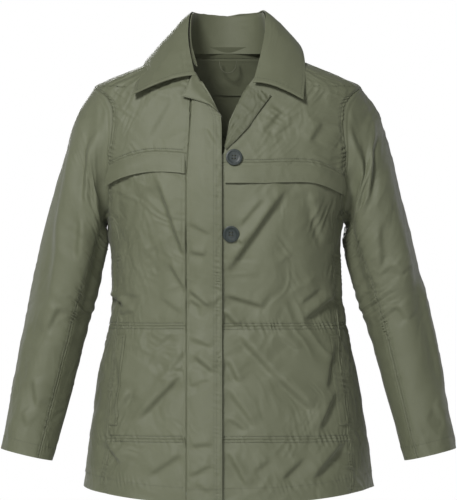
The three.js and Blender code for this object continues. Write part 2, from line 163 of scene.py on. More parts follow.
def crease(a, b, start, end, depth, width=5.0, bow=0.0):
    """One fold: the cloth steps down across the line from start to end, and eases back on both sides."""
    (a0, b0), (a1, b1) = start, end
    da, db = a1 - a0, b1 - b0
    length = math.hypot(da, db)
    along = ((a - a0) * da + (b - b0) * db) / length ** 2
    uphill = 1 if da >= 0 else -1
    across = uphill * ((b - b0) * da - (a - a0) * db) / length - bow * 4 * along * (1 - along)
    fade = ease(along / 0.3 + 0.15) * ease((1 - along) / 0.3 + 0.15)
    reach = width * 3.4
    width = width * 0.62
    return 1.4 * depth * fade * np.tanh(across / width) * np.exp(-(across / reach) ** 2)


def pucker(distance, along, seed, size=0.8, reach=9.0, pitch=9.0):
    """The small slanting ripples that a row of stitching draws up in thin cloth."""
    phase = along / pitch + 1.7 * noise(along / 24, 0.5, seed) + distance / 26
    strength = 0.45 + 1.15 * noise(along / 21, 3.5, seed + 1)
    fall = np.exp(-(np.abs(distance) / (reach * (0.8 + 0.5 * noise(along / 13, 7.5, seed + 2)))) ** 1.6)
    return 1.5 * size * np.clip(strength, 0.0, 1.3) * fall * np.cos(2 * math.pi * phase)


# ---------------------------------------------------------------- the torso's form


def front_turn(x, z):
    share = np.clip(np.abs(x) / table(TORSO, z), 0, 1)
    return np.sign(x) * np.arcsin(share ** (ROUNDNESS / 2))


def pulled_in(z):
    """The wearer's left side of the jacket is drawn in this much under the arm."""
    return 1 - 0.042 * np.exp(-((z + 265) / 95) ** 2)


def torso(turn, z):
    sine, cosine = np.sin(turn), np.cos(turn)
    power = 2 / ROUNDNESS
    x = np.sign(sine) * table(TORSO, z) * np.abs(sine) ** power
    x = np.where(x > 0, x * pulled_in(z), x)
    depth = np.where(cosine >= 0, -table(TORSO, z, 2), table(TORSO, z, 3))
    return np.stack([x, depth * np.abs(cosine) ** power, z + 0 * x], -1)


def outward(turn, z):
    """Unit normals of the torso's form."""
    step = 0.004
    round_body = torso(turn + step, z) - torso(turn - step, z)
    upward = torso(turn, z + 1.0) - torso(turn, z - 1.0)
    normal = np.cross(round_body, upward)
    return normal / np.linalg.norm(normal, axis=-1, keepdims=True)


def armhole_turn(z, back=False):
    """Turn of the armhole's front edge, or of its back edge counted from the centre back."""
    middle, half = armhole_centre()
    height = np.minimum(np.abs((z - middle) / half), 1)
    opening = ARMHOLE_DEPTH * (1 - height ** 3) ** (1 / 3)
    return np.arccos(np.clip(opening / table(TORSO, z, 3 if back else 2), 0, 1) ** (ROUNDNESS / 2))


def yoke_seam(side, x):
    reach = np.maximum(np.abs(x), 60) - 115
    outer_fall, inner_fall = (22, 4) if side == RIGHT else (26, 1.5)
    fall = np.where(reach > 0, outer_fall * (reach / 75) ** 2, inner_fall * (reach / 50) ** 2)
    return -156 - side * 8 - fall


def hem(turn):
    return HEM_Z + HEM_RISE * np.sin(turn) ** 2


def hem_line(turn, z):
    return hem(turn)


def armhole_centre():
    """Height of the armhole's middle, and half its height."""
    return (ARMPIT_Z + SHOULDER_Z) / 2, (SHOULDER_Z - ARMPIT_Z) / 2


def side_front_x(z):
    return table(SIDE_FRONT, z, blur=14)


def back_seam_turn(z):
    """Turn of the seam between side and back, on the wearer's left."""
    return math.pi - front_turn(0.9 * table(TORSO, z), z)


# ---------------------------------------------------------------- how the cloth lies on the form
# Each fold is start x and z, end x and z, depth and width.
RIGHT_FRONT_FOLDS = [
    (-114, -188, -67, -319, 4.6, 5), (-93, -322, -64, -371, 2.6, 4), (-172, -212, -180, -307, 2.2, 7),
    (-188, -374, -163, -391, 3.0, 4), (-173, -405, -148, -399, 2.0, 4), (-166, -373, -136, -377, 1.2, 5),
    (-150, -196, -158, -262, 1.6, 7), (-86, -60, -128, -134, 1.5, 8), (-105, -378, -70, -404, 1.3, 5),
    (-70, -497, -142, -571, 4.2, 5), (-70, -490, -84, -493, 1.6, 3), (-66, -462, -94, -499, 1.8, 4),
    (-152, -526, -179, -568, 3.0, 5), (-89, -436, -113, -457, 1.6, 4), (-130, -432, -136, -462, 1.4, 4),
    (-195, -606, -168, -640, 4.0, 5), (-70, -622, -126, -658, 2.6, 5), (-176, -470, -170, -520, 1.6, 5),
]
FLY_FOLDS = [
    (-62, -260, -26, -279, 1.4, 4), (-61, -306, -33, -311, 2.0, 4), (-62, -365, -26, -396, 2.8, 4),
    (-62, -380, -30, -402, 2.4, 4), (-35, -111, -16, -145, 1.4, 4), (-60, -444, -22, -457, 1.6, 4),
    (-54, -470, -22, -497, 3.0, 4), (-60, -518, -28, -507, 1.4, 4), (-60, -611, -22, -608, 1.8, 4),
    (-62, -658, -22, -640, 1.8, 4), (-52, -668, -26, -684, 1.2, 4),
]
LEFT_FRONT_FOLDS = [
    (92, -206, -4, -343, 4.4, 6), (57, -221, 17, -267, 1.8, 4), (124, -209, 149, -295, 2.6, 6),
    (-7, -374, 60, -394, 3.2, 5), (-7, -399, 17, -426, 3.4, 4), (112, -390, 146, -362, 2.0, 5),
    (118, -414, 176, -371, 3.6, 6), (150, -100, 128, -134, 1.8, 6), (14, -436, 78, -505, 4.2, 6),
    (70, -498, 136, -558, 4.4, 6), (-2, -473, 17, -513, 3.2, 4), (-2, -566, 29, -586, 2.0, 4),
    (-2, -521, 43, -582, 2.6, 5), (78, -436, 112, -462, 1.8, 4), (168, -452, 155, -526, 3.0, 6),
    (171, -526, 142, -587, 3.4, 6), (181, -606, 131, -664, 4.0, 6), (120, -629, 83, -664, 2.6, 5),
    (-2, -616, 30, -676, 3.0, 4), (38, -653, 67, -630, 1.6, 5), (12, -286, 24, -294, 1.6, 3),
    (6, -180, 30, -196, 0.8, 4), (84, -84, 56, -118, 1.6, 5), (104, -100, 74, -124, 1.2, 4),
]


def drape(turn, z):
    """Soft flutes round the body, which deepen towards the hem."""
    frontness = ease((np.cos(turn) + 0.1) / 0.8)
    below = ease((WAIST_Z - z) / 260)
    flutes = np.sin(9 * turn + 0.6) + 0.7 * np.sin(14 * turn + 2.2 + z / 210)
    above = ease((z - WAIST_Z + 40) / 90) * ease((-110 - z) / 90)
    blouse = np.sin(11 * turn + 1.1 + z / 160) + 0.6 * np.sin(17 * turn + 2.6)
    flank = 1 - 0.75 * np.exp(-((np.abs(np.sin(turn)) - 1) / 0.12) ** 2)
    skirt = mix(4.0, 1.0, frontness) * below * flutes
    return flank * (skirt + mix(2.0, 0.8, frontness) * above * blouse)


def fly_rise(x):
    return 3.2 * ease((x + 118) / 52) * (x < -60)


def lie(turn, z):
    """How far the cloth's outer face stands off the form, anywhere on the body.

    Past the centre back it turns into what a turn counted the other way round gives, so seams match.
    """
    if np.all(turn <= math.pi):
        return lie_one_way(turn, z)
    return mix(lie_one_way(turn, z), lie_one_way(turn - 2 * math.pi, z), ease((turn / math.pi - 1) / 0.3))


def lie_one_way(turn, z):
    point = torso(turn, z)
    x = point[..., 0]
    is_front = np.cos(turn) > 0
    # a ring coordinate keeps the crumples unstretched at the sides
    ring = turn * 190
    lift = BASE + drape(turn, z) + crumple(ring, z, 3, 3.3)
    folds = 0
    for a0, b0, a1, b1, depth, width in RIGHT_FRONT_FOLDS + LEFT_FRONT_FOLDS:
        folds = folds + crease(x, z, (a0, b0), (a1, b1), depth, width)
    under_fly = 1 - 0.9 * ease((-10 - x) / 8) * ease((x + 66) / 8)
    lift = lift + np.where(is_front, folds * under_fly, 0)
    # the right front rises towards the fly cover that is sewn to it
    lift = lift + np.where(is_front, fly_rise(x), 0)
    near_seam = np.exp(-np.abs(z - WAIST_Z) / 20) + np.exp(-np.abs(np.abs(x) - side_front_x(z)) / 16)
    near_seam = near_seam + np.where(is_front, np.exp(-np.abs(z - LOWER_SEAM_Z) / 20), 0)
    lift = lift + np.minimum(near_seam, 1.2) * crumple(2.2 * ring, 2.2 * z, 5, 1.1)
    # gathers of the waist elastic at the back, and of the seam at the sides
    backness = ease((-np.cos(turn) + 0.25) / 0.5)
    near_waist = np.exp(-np.abs((z - WAIST_Z) / 48) ** 1.5)
    gathers = np.sin(ring / 2.6 + 2.4 * noise(ring / 40, z / 90, 8))
    gathers = gathers * (0.7 + 0.5 * noise(ring / 24, 0.5, 9))
    lift = lift + backness * near_waist * 2.1 * gathers
    lift = lift + pucker(z - WAIST_Z, ring, 11, 0.9, 11)
    lift = lift + pucker(z - hem(turn) - HEM_STITCH, ring, 12, 0.6, 9)
    front_only = np.where(is_front, 1.0, 0.0)
    lift = lift + front_only * pucker(z - LOWER_SEAM_Z, x, 13, 0.9, 11)
    yoke = np.where(x < 0, yoke_seam(RIGHT, x), yoke_seam(LEFT, x))
    lift = lift + front_only * pucker(z - yoke, x, 14, 0.45, 8, 13)
    lift = lift + front_only * pucker(np.abs(x) - side_front_x(z), z, 15, 0.8, 10)
    lift = lift + front_only * pucker(x - FLY_SEAM_X, z, 16, 0.35, 7, 17)
    arm_gap = np.where(is_front, armhole_turn(z), armhole_turn(z, True)) - np.arccos(np.abs(np.cos(turn)))
    near_arm = ease((z - ARMPIT_Z) / 20) * ease((SHOULDER_Z + 6 - z) / 14)
    lift = lift + near_arm * pucker(arm_gap * 170, z, 17, 0.9, 10)
    lift = lift + (1 - front_only) * pucker(z - BACK_YOKE_Z, ring, 18, 0.5, 9)
    # the shoulders and the neck stay smooth and close
    return mix(lift, BASE, ease((z + 30) / 40))


def lie_fly(x, z):
    """The same for the fly cover, which rides over the left front."""
    edge = np.interp(z, FLY_EDGE[:, 0], FLY_EDGE[:, 1])
    share = (x - FLY_SEAM_X) / (edge - FLY_SEAM_X)
    lift = mix(BASE + 4.2, 9.8, ease(share * 1.8)) + crumple(x, z, 31, 1.5)
    for a0, b0, a1, b1, depth, width in FLY_FOLDS:
        lift = lift + crease(x, z, (a0, b0), (a1, b1), depth, width)
    at_edge = np.exp(-np.abs(x - edge + 5) / 7)
    lift = lift + pucker(x - edge + 7, z, 32, 0.6, 7, 7) + at_edge * crumple(4 * x, 4 * z, 34, 1.5)
    lift = lift + 0.5 * pucker(x - FLY_SEAM_X, z, 33, 0.5, 8, 15)
    for number in (2, 3, 4):
        over = ((x - BUTTON_X[number]) ** 2 + (z - FIRST_BUTTON_Z + number * BUTTON_PITCH) ** 2) / 17 ** 2
        lift = mix(lift, np.maximum(lift, 8.7), np.exp(-over ** 3))
    return lift


# ---------------------------------------------------------------- meshes


def spaced(length, step, edges=(0.6, 1.4, 2.5, 3.6, 4.6, 5.7), must=()):
    """Shares from 0 to 1, a step apart, with extra lines close to both ends."""
    count = max(int(round(length / step)), 3)
    inside = np.linspace(0, 1, count + 1)
    near = np.array([edge for edge in edges if edge < 0.42 * length]) / length
    clear = near[-1] + 0.5 * step / length
    inside = inside[(inside > clear) & (1 - inside > clear)]
    return np.unique(np.concatenate([[0, 1], near, 1 - near, inside, must]))


def lengths(grid):
    """Distance walked along each axis of a grid of points, at its middle line."""
    rows, columns = grid.shape[:2]
    down = np.linalg.norm(np.diff(grid[:, columns // 2], axis=0), axis=-1)
    over = np.linalg.norm(np.diff(grid[rows // 2], axis=0), axis=-1)
    return np.concatenate([[0], np.cumsum(down)]), np.concatenate([[0], np.cumsum(over)])


def flat_size(grid):
    """Width, length and area of a grid of points, laid flat."""
    over = np.linalg.norm(np.diff(grid, axis=1), axis=-1).sum(1).max()
    down = np.linalg.norm(np.diff(grid, axis=0), axis=-1).sum(0).max()
    a = grid[1:, 1:] - grid[:-1, :-1]
    b = grid[1:, :-1] - grid[:-1, 1:]
    return over, down, np.linalg.norm(np.cross(a, b), axis=-1).sum() / 2


def make_mesh(name, points, faces, materials, uv=None, marks=None, slots=None):
    """An object from points in millimetres and an array of four-sided or three-sided faces."""
    mesh = bpy.data.meshes.new(name)
    points, faces = np.asarray(points, float) * MM, np.asarray(faces, np.int32)
    mesh.vertices.add(len(points))
    mesh.vertices.foreach_set("co", points.astype(np.float32).ravel())
    mesh.loops.add(faces.size)
    mesh.loops.foreach_set("vertex_index", faces.ravel())
    mesh.polygons.add(len(faces))
    mesh.polygons.foreach_set("loop_start", np.arange(len(faces), dtype=np.int32) * faces.shape[1])
    for material in materials:
        mesh.materials.append(material)
    if slots is not None:
        mesh.polygons.foreach_set("material_index", np.asarray(slots, np.int32))
    mesh.update(calc_edges=True)
    mesh.validate()
    if uv is not None:
        layer = mesh.uv_layers.new(name="cut")
        layer.data.foreach_set("uv", (uv[faces.ravel()] * MM).astype(np.float32).ravel())
    for key, values in (marks or {}).items():
        mark = mesh.attributes.new(key, "FLOAT", "POINT")
        mark.data.foreach_set("value", values.astype(np.float32))
    mesh.shade_smooth()
    mesh.set_sharp_from_angle(angle=SHARP_ANGLE)
    piece = bpy.data.objects.new(name, mesh)
    bpy.context.scene.collection.objects.link(piece)
    return piece


def shell(name, outer, inner, materials, seam=None, rub_and_highlight=None, flip=False):
    """A layer of cloth between two grids of points, closed at its edges. Rows run down, columns round."""
    rows, columns = outer.shape[:2]
    count = rows * columns
    index = np.arange(count).reshape(rows, columns)
    quads = np.stack([index[:-1, :-1], index[1:, :-1], index[1:, 1:], index[:-1, 1:]], -1).reshape(-1, 4)
    border = np.concatenate([index[:, 0], index[-1, 1:], index[-2::-1, -1], index[0, -2:0:-1]])
    after = np.roll(border, -1)
    rim = np.stack([after, border, border + count, after + count], -1)
    faces = np.concatenate([quads, quads[:, ::-1] + count, rim])
    if flip:
        faces = faces[:, ::-1]
    down, over = lengths((outer + inner) / 2)
    uv = np.stack(np.meshgrid(over, down), -1).reshape(-1, 2)
    zero = np.zeros((rows, columns))
    # the seam mark sets painted shade near sewn edges; the rub mark sets wear and a painted highlight near
    # free edges
    marks = {"seam": zero if seam is None else seam, "rub_and_highlight": zero if rub_and_highlight is None else rub_and_highlight}
    marks = {key: np.concatenate([value.ravel(), value.ravel()]) for key, value in marks.items()}
    slots = np.concatenate([np.zeros(len(quads)), np.ones(len(quads)), np.zeros(len(rim))])
    points = np.concatenate([outer.reshape(-1, 3), inner.reshape(-1, 3)])
    return make_mesh(name, points, faces, materials, np.concatenate([uv, uv]), marks, slots)


def edge_marks(grid, sewn, free):
    """Marks near the sewn and the free edges of a grid, and the distance to the nearest sewn edge."""
    down, over = lengths(grid)
    near = {"left": over[None, :], "right": (over[-1] - over)[None, :],
            "top": down[:, None], "bottom": (down[-1] - down)[:, None]}

    def gap_to(edges):
        gap = np.full(grid.shape[:2], FAR)
        for edge in edges:
            gap = np.minimum(gap, near[edge])
        return gap

    sewn_gap = gap_to(sewn)
    return np.exp(-(sewn_gap / SEAM_REACH) ** 2), np.exp(-(gap_to(free) / RUB_AND_HIGHLIGHT_REACH) ** 2), sewn_gap


def dress(piece, on, nodes=(), flat=None):
    """Attaches a finished piece to the body it rides on, or for a piece across a joint only fixes its
    transform, and hides the frame nodes it stands for; what it is cut from (flat) is not used.
    """
    if isinstance(on, str):
        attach(piece, on)
    else:
        parent, child, start, end = on
        [v * MM for v in start]
        [v * MM for v in end]
        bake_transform(piece)
    if nodes:
        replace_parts(piece, *nodes)
    return piece


def body_panel(name, left, right, top, bottom, sewn=("left", "right", "top", "bottom"), free=(), on="root",
               nodes=None, lift=None, step=BACK_STEP, materials=None, slot="shell_cloth", groove=0.75,
               channel=0.5, thick=CLOTH, held="hung", rests=("collar_stand",)):
    """A piece of cloth on the torso, between two turns and two heights."""
    def place(u, v):
        z = mix(top(0 * u, 0 * u - 150), bottom(0 * u, 0 * u - 150), v)
        for _ in range(20):
            turn = mix(left(z), right(z), u)
            z = mix(z, mix(top(turn, z), bottom(turn, z), v), 0.5)
        return turn, z

    rough = np.meshgrid(np.linspace(0, 1, 9), np.linspace(0, 1, 9))
    width, length, _ = flat_size(torso(*place(*rough)))
    turn, z = place(*np.meshgrid(spaced(width, step), spaced(length, step)))
    base, normal = torso(turn, z), outward(turn, z)
    seam, rub_and_highlight, sewn_gap = edge_marks(base, sewn, free)
    # the cloth dips into the seam and again under the row of topstitching beside it
    height = (lift or lie)(turn, z) - groove * np.exp(-(sewn_gap / 1.0) ** 2)
    height = height - channel * np.exp(-((sewn_gap - STITCH_GAP) / 1.1) ** 2)
    outer = base + normal * height[..., None]
    inner = base + normal * (height - thick)[..., None]
    piece = shell(name, outer, inner, materials or (SHELL, INSIDE), seam, rub_and_highlight)
    return dress(piece, on, nodes if nodes is not None else [name.replace("_cloth", "")],
                 flat_size(base))


def still(height):
    return lambda turn, z: height + 0 * turn


# ---------------------------------------------------------------- materials


class Wire:
    """A shader socket that Python arithmetic can be written on."""

    def __init__(self, maker, socket):
        self.maker, self.socket = maker, socket

    def _math(self, operation, a, b=None):
        inputs = {0: a} if b is None else {0: a, 1: b}
        return self.maker.node("ShaderNodeMath", {"operation": operation}, inputs)

    def __add__(self, other):
        return self._math("ADD", self, other)

    def __radd__(self, other):
        return self._math("ADD", other, self)

    def __sub__(self, other):
        return self._math("SUBTRACT", self, other)

    def __rsub__(self, other):
        return self._math("SUBTRACT", other, self)

    def __mul__(self, other):
        return self._math("MULTIPLY", self, other)

    def __rmul__(self, other):
        return self._math("MULTIPLY", other, self)

    def __pow__(self, other):
        return self._math("POWER", self, other)

    def limited(self, low, high):
        return self._math("MAXIMUM", self._math("MINIMUM", self, high), low)

    def part(self, axis):
        return self.maker.node("ShaderNodeSeparateXYZ", {}, {0: self}, axis)


class Finish:
    """A material being made: every node comes from node()."""

    def __init__(self, name):
        self.material = bpy.data.materials.new(name)
        self.material.use_nodes = True
        self.tree = self.material.node_tree
        self.surface = self.tree.nodes["Principled BSDF"]

    def node(self, kind, settings, inputs, output=0):
        made = self.tree.nodes.new(kind)
        for key, value in settings.items():
            if key == "stops":
                ramp = made.color_ramp.elements
                for number, (place, colour) in enumerate(value):
                    stop = ramp[number] if number < 2 else ramp.new(place)
                    stop.position, stop.color = place, (*colour, 1)
            else:
                setattr(made, key, value)
        for key, value in inputs.items():
            self.join(made.inputs[key], value)
        return Wire(self, made.outputs[output])

    def join(self, socket, value):
        if isinstance(value, Wire):
            self.tree.links.new(value.socket, socket)
        else:
            socket.default_value = value

    def blend(self, a, b, share, how="MIX"):
        settings = {"data_type": "RGBA", "blend_type": how}
        return self.node("ShaderNodeMix", settings, {0: share, 6: a, 7: b}, 2)

    def mark(self, name):
        return self.node("ShaderNodeAttribute", {"attribute_name": name}, {}, 2)

    def cloud(self, place, scale, detail=3.0, rough=0.55):
        return self.node("ShaderNodeTexNoise", {}, {"Vector": place, "Scale": scale, "Detail": detail,
                                                     "Roughness": rough})

    def bump(self, height, distance, strength=1.0):
        return self.node("ShaderNodeBump", {}, {"Height": height, "Distance": distance,
                                                 "Strength": strength})

    def set(self, **values):
        for key, value in values.items():
            self.join(self.surface.inputs[key.replace("_", " ")], value)
        return self.material


def cloth_finish(name, colour, pale, dark, thread_pitch=0.00062, rough=0.54, sheen=0.1,
                 weave_depth=0.00006):
    """Fine plain-woven cloth: threads over and under, slubs, a soft uneven shade, edges worn paler with a
    painted highlight, and painted shade along the seams.
    """
    f = Finish(name)
    uv = f.node("ShaderNodeUVMap", {"uv_map": "cut"}, {})
    place = f.node("ShaderNodeTexCoord", {}, {}, 3)
    u, v = uv.part(0), uv.part(1)
    turns = 2 * math.pi / thread_pitch
    warp = (u * turns)._math("SINE", u * turns)
    weft = (v * turns)._math("SINE", v * turns)
    weave = warp * weft
    slub = f.cloud(f.node("ShaderNodeMapping", {}, {"Vector": uv, "Scale": (900, 45, 1)}), 1.0, 2.0)
    streak = f.cloud(f.node("ShaderNodeMapping", {}, {"Vector": uv, "Scale": (40, 800, 1)}), 1.0, 2.0)
    patch = f.cloud(place, 9.0, 4.0)
    fine = f.cloud(place, 60.0, 3.0)
    seam, rub_and_highlight = f.mark("seam"), f.mark("rub_and_highlight")
    shade = ((patch - 0.5) * 0.9 + (fine - 0.5) * 0.35 + 0.5).limited(0, 1)
    base = f.blend((*dark, 1), (*pale, 1), shade)
    base = f.blend((*colour, 1), base, 0.5)
    # the free edges turn paler through the rub mark: partly wear, partly a painted highlight on the raised
    # edge
    worn = ((slub + streak - 1.0) * 0.5 + rub_and_highlight * 0.30 + weave * 0.05).limited(0, 0.5)
    base = f.blend(base, (*pale, 1), worn)
    # painted shade: the colour darkens towards the sewn edges, standing in for the shade in the seam grooves
    base = f.blend(base, (*[0.55 * c for c in dark], 1), (seam ** 2.0) * 0.30)
    roughness = rough + (patch - 0.5) * 0.16 + seam * 0.08 + (fine - 0.5) * 0.08
    threads = f.bump(weave * 0.5 + slub * 0.8 + streak * 0.5, weave_depth, 0.8)
    hand = f.node("ShaderNodeBump", {}, {"Height": fine + patch, "Distance": 0.0007, "Strength": 0.5,
                                          "Normal": threads})
    return f.set(Base_Color=base, Roughness=roughness.limited(0.2, 0.95), Normal=hand, Sheen_Weight=sheen,
                 Sheen_Roughness=0.35, Specular_IOR_Level=0.3)


def thread_finish():
    """Twisted sewing thread."""
    f = Finish("thread")
    place = f.node("ShaderNodeTexCoord", {}, {}, 3)
    ply = f.node("ShaderNodeTexWave", {"bands_direction": "DIAGONAL"}, {"Vector": place, "Scale": 900.0,
                                                                        "Distortion": 1.5})
    lint = f.cloud(place, 400.0)
    dark, pale = (0.030, 0.034, 0.020, 1), (0.080, 0.086, 0.054, 1)
    base = f.blend(dark, pale, (ply * 0.6 + lint * 0.5).limited(0, 1))
    return f.set(Base_Color=base, Roughness=(0.5 + lint * 0.25), Normal=f.bump(ply, 0.0001, 0.7),
                 Sheen_Weight=0.2)


def button_finish():
    """Pressed resin, dark grey-green, faintly clouded and veined, its roughness finely flecked."""
    f = Finish("button_resin")
    place = f.node("ShaderNodeTexCoord", {}, {}, 3)
    cloud = f.cloud(place, 120.0, 5.0, 0.65)
    vein = f.node("ShaderNodeTexWave", {}, {"Vector": place, "Scale": 55.0, "Distortion": 9.0,
                                             "Detail": 3.0})
    speck = f.cloud(place, 900.0, 2.0)
    dark, pale = (0.010, 0.016, 0.015, 1), (0.030, 0.042, 0.039, 1)
    base = f.blend(dark, pale, (cloud * 0.7 + vein * 0.3).limited(0, 1))
    rough = 0.36 + speck * 0.22
    return f.set(Base_Color=base, Roughness=rough, Normal=f.bump(speck, 0.00004, 0.6), Coat_Weight=0.12,
                 Coat_Roughness=0.25, Specular_IOR_Level=0.35)


def plain_finish(name, colour):
    f = Finish(name)
    place = f.node("ShaderNodeTexCoord", {}, {}, 3)
    grain = f.cloud(place, 6.0)
    base = f.blend((*colour, 1), (*[c * 0.97 for c in colour], 1), grain)
    return f.set(Base_Color=base, Roughness=0.9)


SHELL = cloth_finish("shell_cloth", (0.136, 0.146, 0.092), (0.172, 0.182, 0.122), (0.100, 0.108, 0.064))
INSIDE = cloth_finish("inner_cloth", (0.112, 0.121, 0.074), (0.142, 0.150, 0.098), (0.080, 0.087, 0.050),
                      rough=0.56, sheen=0.15)
TAPE = cloth_finish("tape_cloth", (0.105, 0.112, 0.070), (0.145, 0.150, 0.105), (0.070, 0.076, 0.045),
                    thread_pitch=0.0011, rough=0.62, weave_depth=0.00015)
THREAD = thread_finish()
RESIN = button_finish()

# ---------------------------------------------------------------- joints the pieces lie across
# each front turns back along a slanting line: the joint's two bodies and the line's two ends
FRONT_BLEND = {
    RIGHT: ("root", "front_R", (-108, 0, -382), (-108 + 76, 0, -382 - 23)),
    LEFT: ("root", "front_L", (93, 0, -427), (93 - 73, 0, -427 - 32)),
}
TAG = {RIGHT: "R", LEFT: "L"}
COLLAR_BLEND = {side: ("root", f"collar_{TAG[side]}", (0, 66, 60), (side * 62, 6, 52)) for side in TAG}


# ---------------------------------------------------------------- back and sides


def make_back():
    def armhole_side(z):
        free = np.where(z > SHOULDER_Z, math.pi / 2, armhole_turn(z, True))
        return math.pi - free

    def yoke_edge(z):
        return armhole_side(z) - LOOSE

    body_panel("back_yoke_cloth", yoke_edge, lambda z: 2 * math.pi - yoke_edge(z), still(24),
               still(BACK_YOKE_Z), sewn=("left", "right", "bottom"))

    def panel_edge(z):
        arm = armhole_side(z) - LOOSE
        return np.where(z > SIDE_TOP_Z, arm, np.maximum(arm, back_seam_turn(z)))

    body_panel("back_panel_cloth", panel_edge, lambda z: 2 * math.pi - panel_edge(z), still(BACK_YOKE_Z),
               still(WAIST_Z))
    body_panel("back_skirt_cloth", back_seam_turn, lambda z: 2 * math.pi - back_seam_turn(z), still(WAIST_Z),
               hem_line, sewn=("left", "right", "top"), free=("bottom",))

    def inner_lie(turn, z):
        return lie(turn, z) - 2.6

    body_panel("waist_elastic_cloth", lambda z: back_seam_turn(z) + 0.12,
               lambda z: 2 * math.pi - back_seam_turn(z) - 0.12, still(WAIST_Z + 6), still(WAIST_Z - 6),
               sewn=(), free=("top", "bottom"), lift=inner_lie, materials=(TAPE, TAPE), slot="inner_cloth",
               held="gathered", rests=("back_panel_cloth",))
    body_panel("back_neck_facing_cloth", lambda z: math.pi - front_turn(60 + 0 * z, z),
               lambda z: math.pi + front_turn(60 + 0 * z, z), still(8), still(-52), sewn=("top",),
               free=("bottom",), lift=inner_lie, materials=(INSIDE, INSIDE), slot="inner_cloth",
               rests=("back_yoke_cloth",))


def make_side(side):
    tag = TAG[side]

    def near(z):
        return side * front_turn(side_front_x(z), z)

    def far(z):
        return side * back_seam_turn(z)

    def under_arm(turn, z):
        middle, half = armhole_centre()
        opening = np.clip(np.abs(torso(turn, z)[..., 1]) / ARMHOLE_DEPTH, 0, 1)
        return np.minimum(middle - half * (1 - opening ** 3) ** (1 / 3), SIDE_TOP_Z)

    left, right = (near, far) if side == LEFT else (far, near)
    body_panel(f"side_panel_{tag}_cloth", left, right, under_arm, still(WAIST_Z), step=2.8)
    body_panel(f"side_skirt_{tag}_cloth", left, right, still(WAIST_Z), hem_line,
               sewn=("left", "right", "top"), free=("bottom",), step=2.8)


# ---------------------------------------------------------------- fronts


def make_front(side):
    tag = TAG[side]

    def closing(z):
        x = np.interp(z, INNER_EDGE[side][:, 0], INNER_EDGE[side][:, 1])
        return front_turn(x, z)

    def armhole_edge(z):
        return side * np.where(z > SHOULDER_Z, math.pi / 2, armhole_turn(z) + LOOSE)

    def seam_edge(z):
        return side * front_turn(side_front_x(z), z)

    def outside(z):
        return side * np.minimum(np.abs(armhole_edge(z)), np.abs(seam_edge(z)))

    def seam_line(turn, z):
        return yoke_seam(side, torso(turn, z)[..., 0])

    def ordered(inner, outer):
        return (outer, inner) if side == RIGHT else (inner, outer)

    centre_edge = "right" if side == RIGHT else "left"
    outer_edge = "left" if side == RIGHT else "right"
    closed = (outer_edge, centre_edge) if side == RIGHT else (outer_edge,)
    open_edge = () if side == RIGHT else (centre_edge,)
    fold = FRONT_BLEND[side]
    body_panel(f"front_yoke_{tag}_cloth", *ordered(closing, armhole_edge), still(14), seam_line,
               sewn=(*closed, "bottom"), free=open_edge, step=FRONT_STEP)
    body_panel(f"front_panel_{tag}_cloth", *ordered(closing, outside), seam_line, still(WAIST_Z),
               sewn=(*closed, "bottom", "top"), free=open_edge, step=FRONT_STEP, on=fold,
               nodes=[f"front_panel_{tag}", f"front_edge_{tag}"])
    body_panel(f"front_skirt_{tag}_cloth", *ordered(closing, seam_edge), still(WAIST_Z),
               still(LOWER_SEAM_Z), sewn=(*closed, "bottom", "top"), free=open_edge, step=FRONT_STEP,
               on=fold, nodes=[f"front_skirt_{tag}", f"skirt_edge_{tag}"])
    body_panel(f"hem_band_{tag}_cloth", *ordered(closing, seam_edge), still(LOWER_SEAM_Z),
               hem_line, sewn=(*closed, "top"), free=(*open_edge, "bottom"), step=FRONT_STEP,
               on=fold, nodes=())


def make_flap(side):
    """A storm flap, sewn along the yoke seam and free below, its outer end lifting off the chest."""
    tag = TAG[side]
    inner_x = FLY_SEAM_X - 0.6 if side == RIGHT else -5

    def inner(z):
        return front_turn(inner_x + 0 * z, z)

    def outer(z):
        return side * (armhole_turn(z) - LOOSE)

    def top(turn, z):
        return yoke_seam(side, torso(turn, z)[..., 0]) + 0.6

    def flap_lie(turn, z):
        x = torso(turn, z)[..., 0]
        down = np.clip((yoke_seam(side, x) - z) / FLAP_DROP, 0, 1)
        out = ease((np.abs(x) - 90) / 100)
        calm = BASE + drape(turn, z) + fly_rise(x) + crumple(x, z, 50 + side, 0.9)
        off = 3.4 + 2.8 * out + 1.1 * noise(x / 24, 0.5, 55 + side)
        return calm + mix(0.5, off, ease(down * 1.5)) + 0.8 * down * np.sin(x / 17 + side)

    left, right = (outer, inner) if side == RIGHT else (inner, outer)
    end = "left" if side == RIGHT else "right"
    low = yoke_seam(side, 115 + 0.0)
    body_panel(f"storm_flap_{tag}_cloth", left, right, top, lambda turn, z: top(turn, z) - FLAP_DROP,
               sewn=("top", "right" if side == RIGHT else end), free=("bottom",), lift=flap_lie,
               step=FRONT_STEP, on=("root", f"flap_{tag}", (0, 0, low), (0, 0, low - 22)),
               rests=(f"front_yoke_{tag}_cloth",))


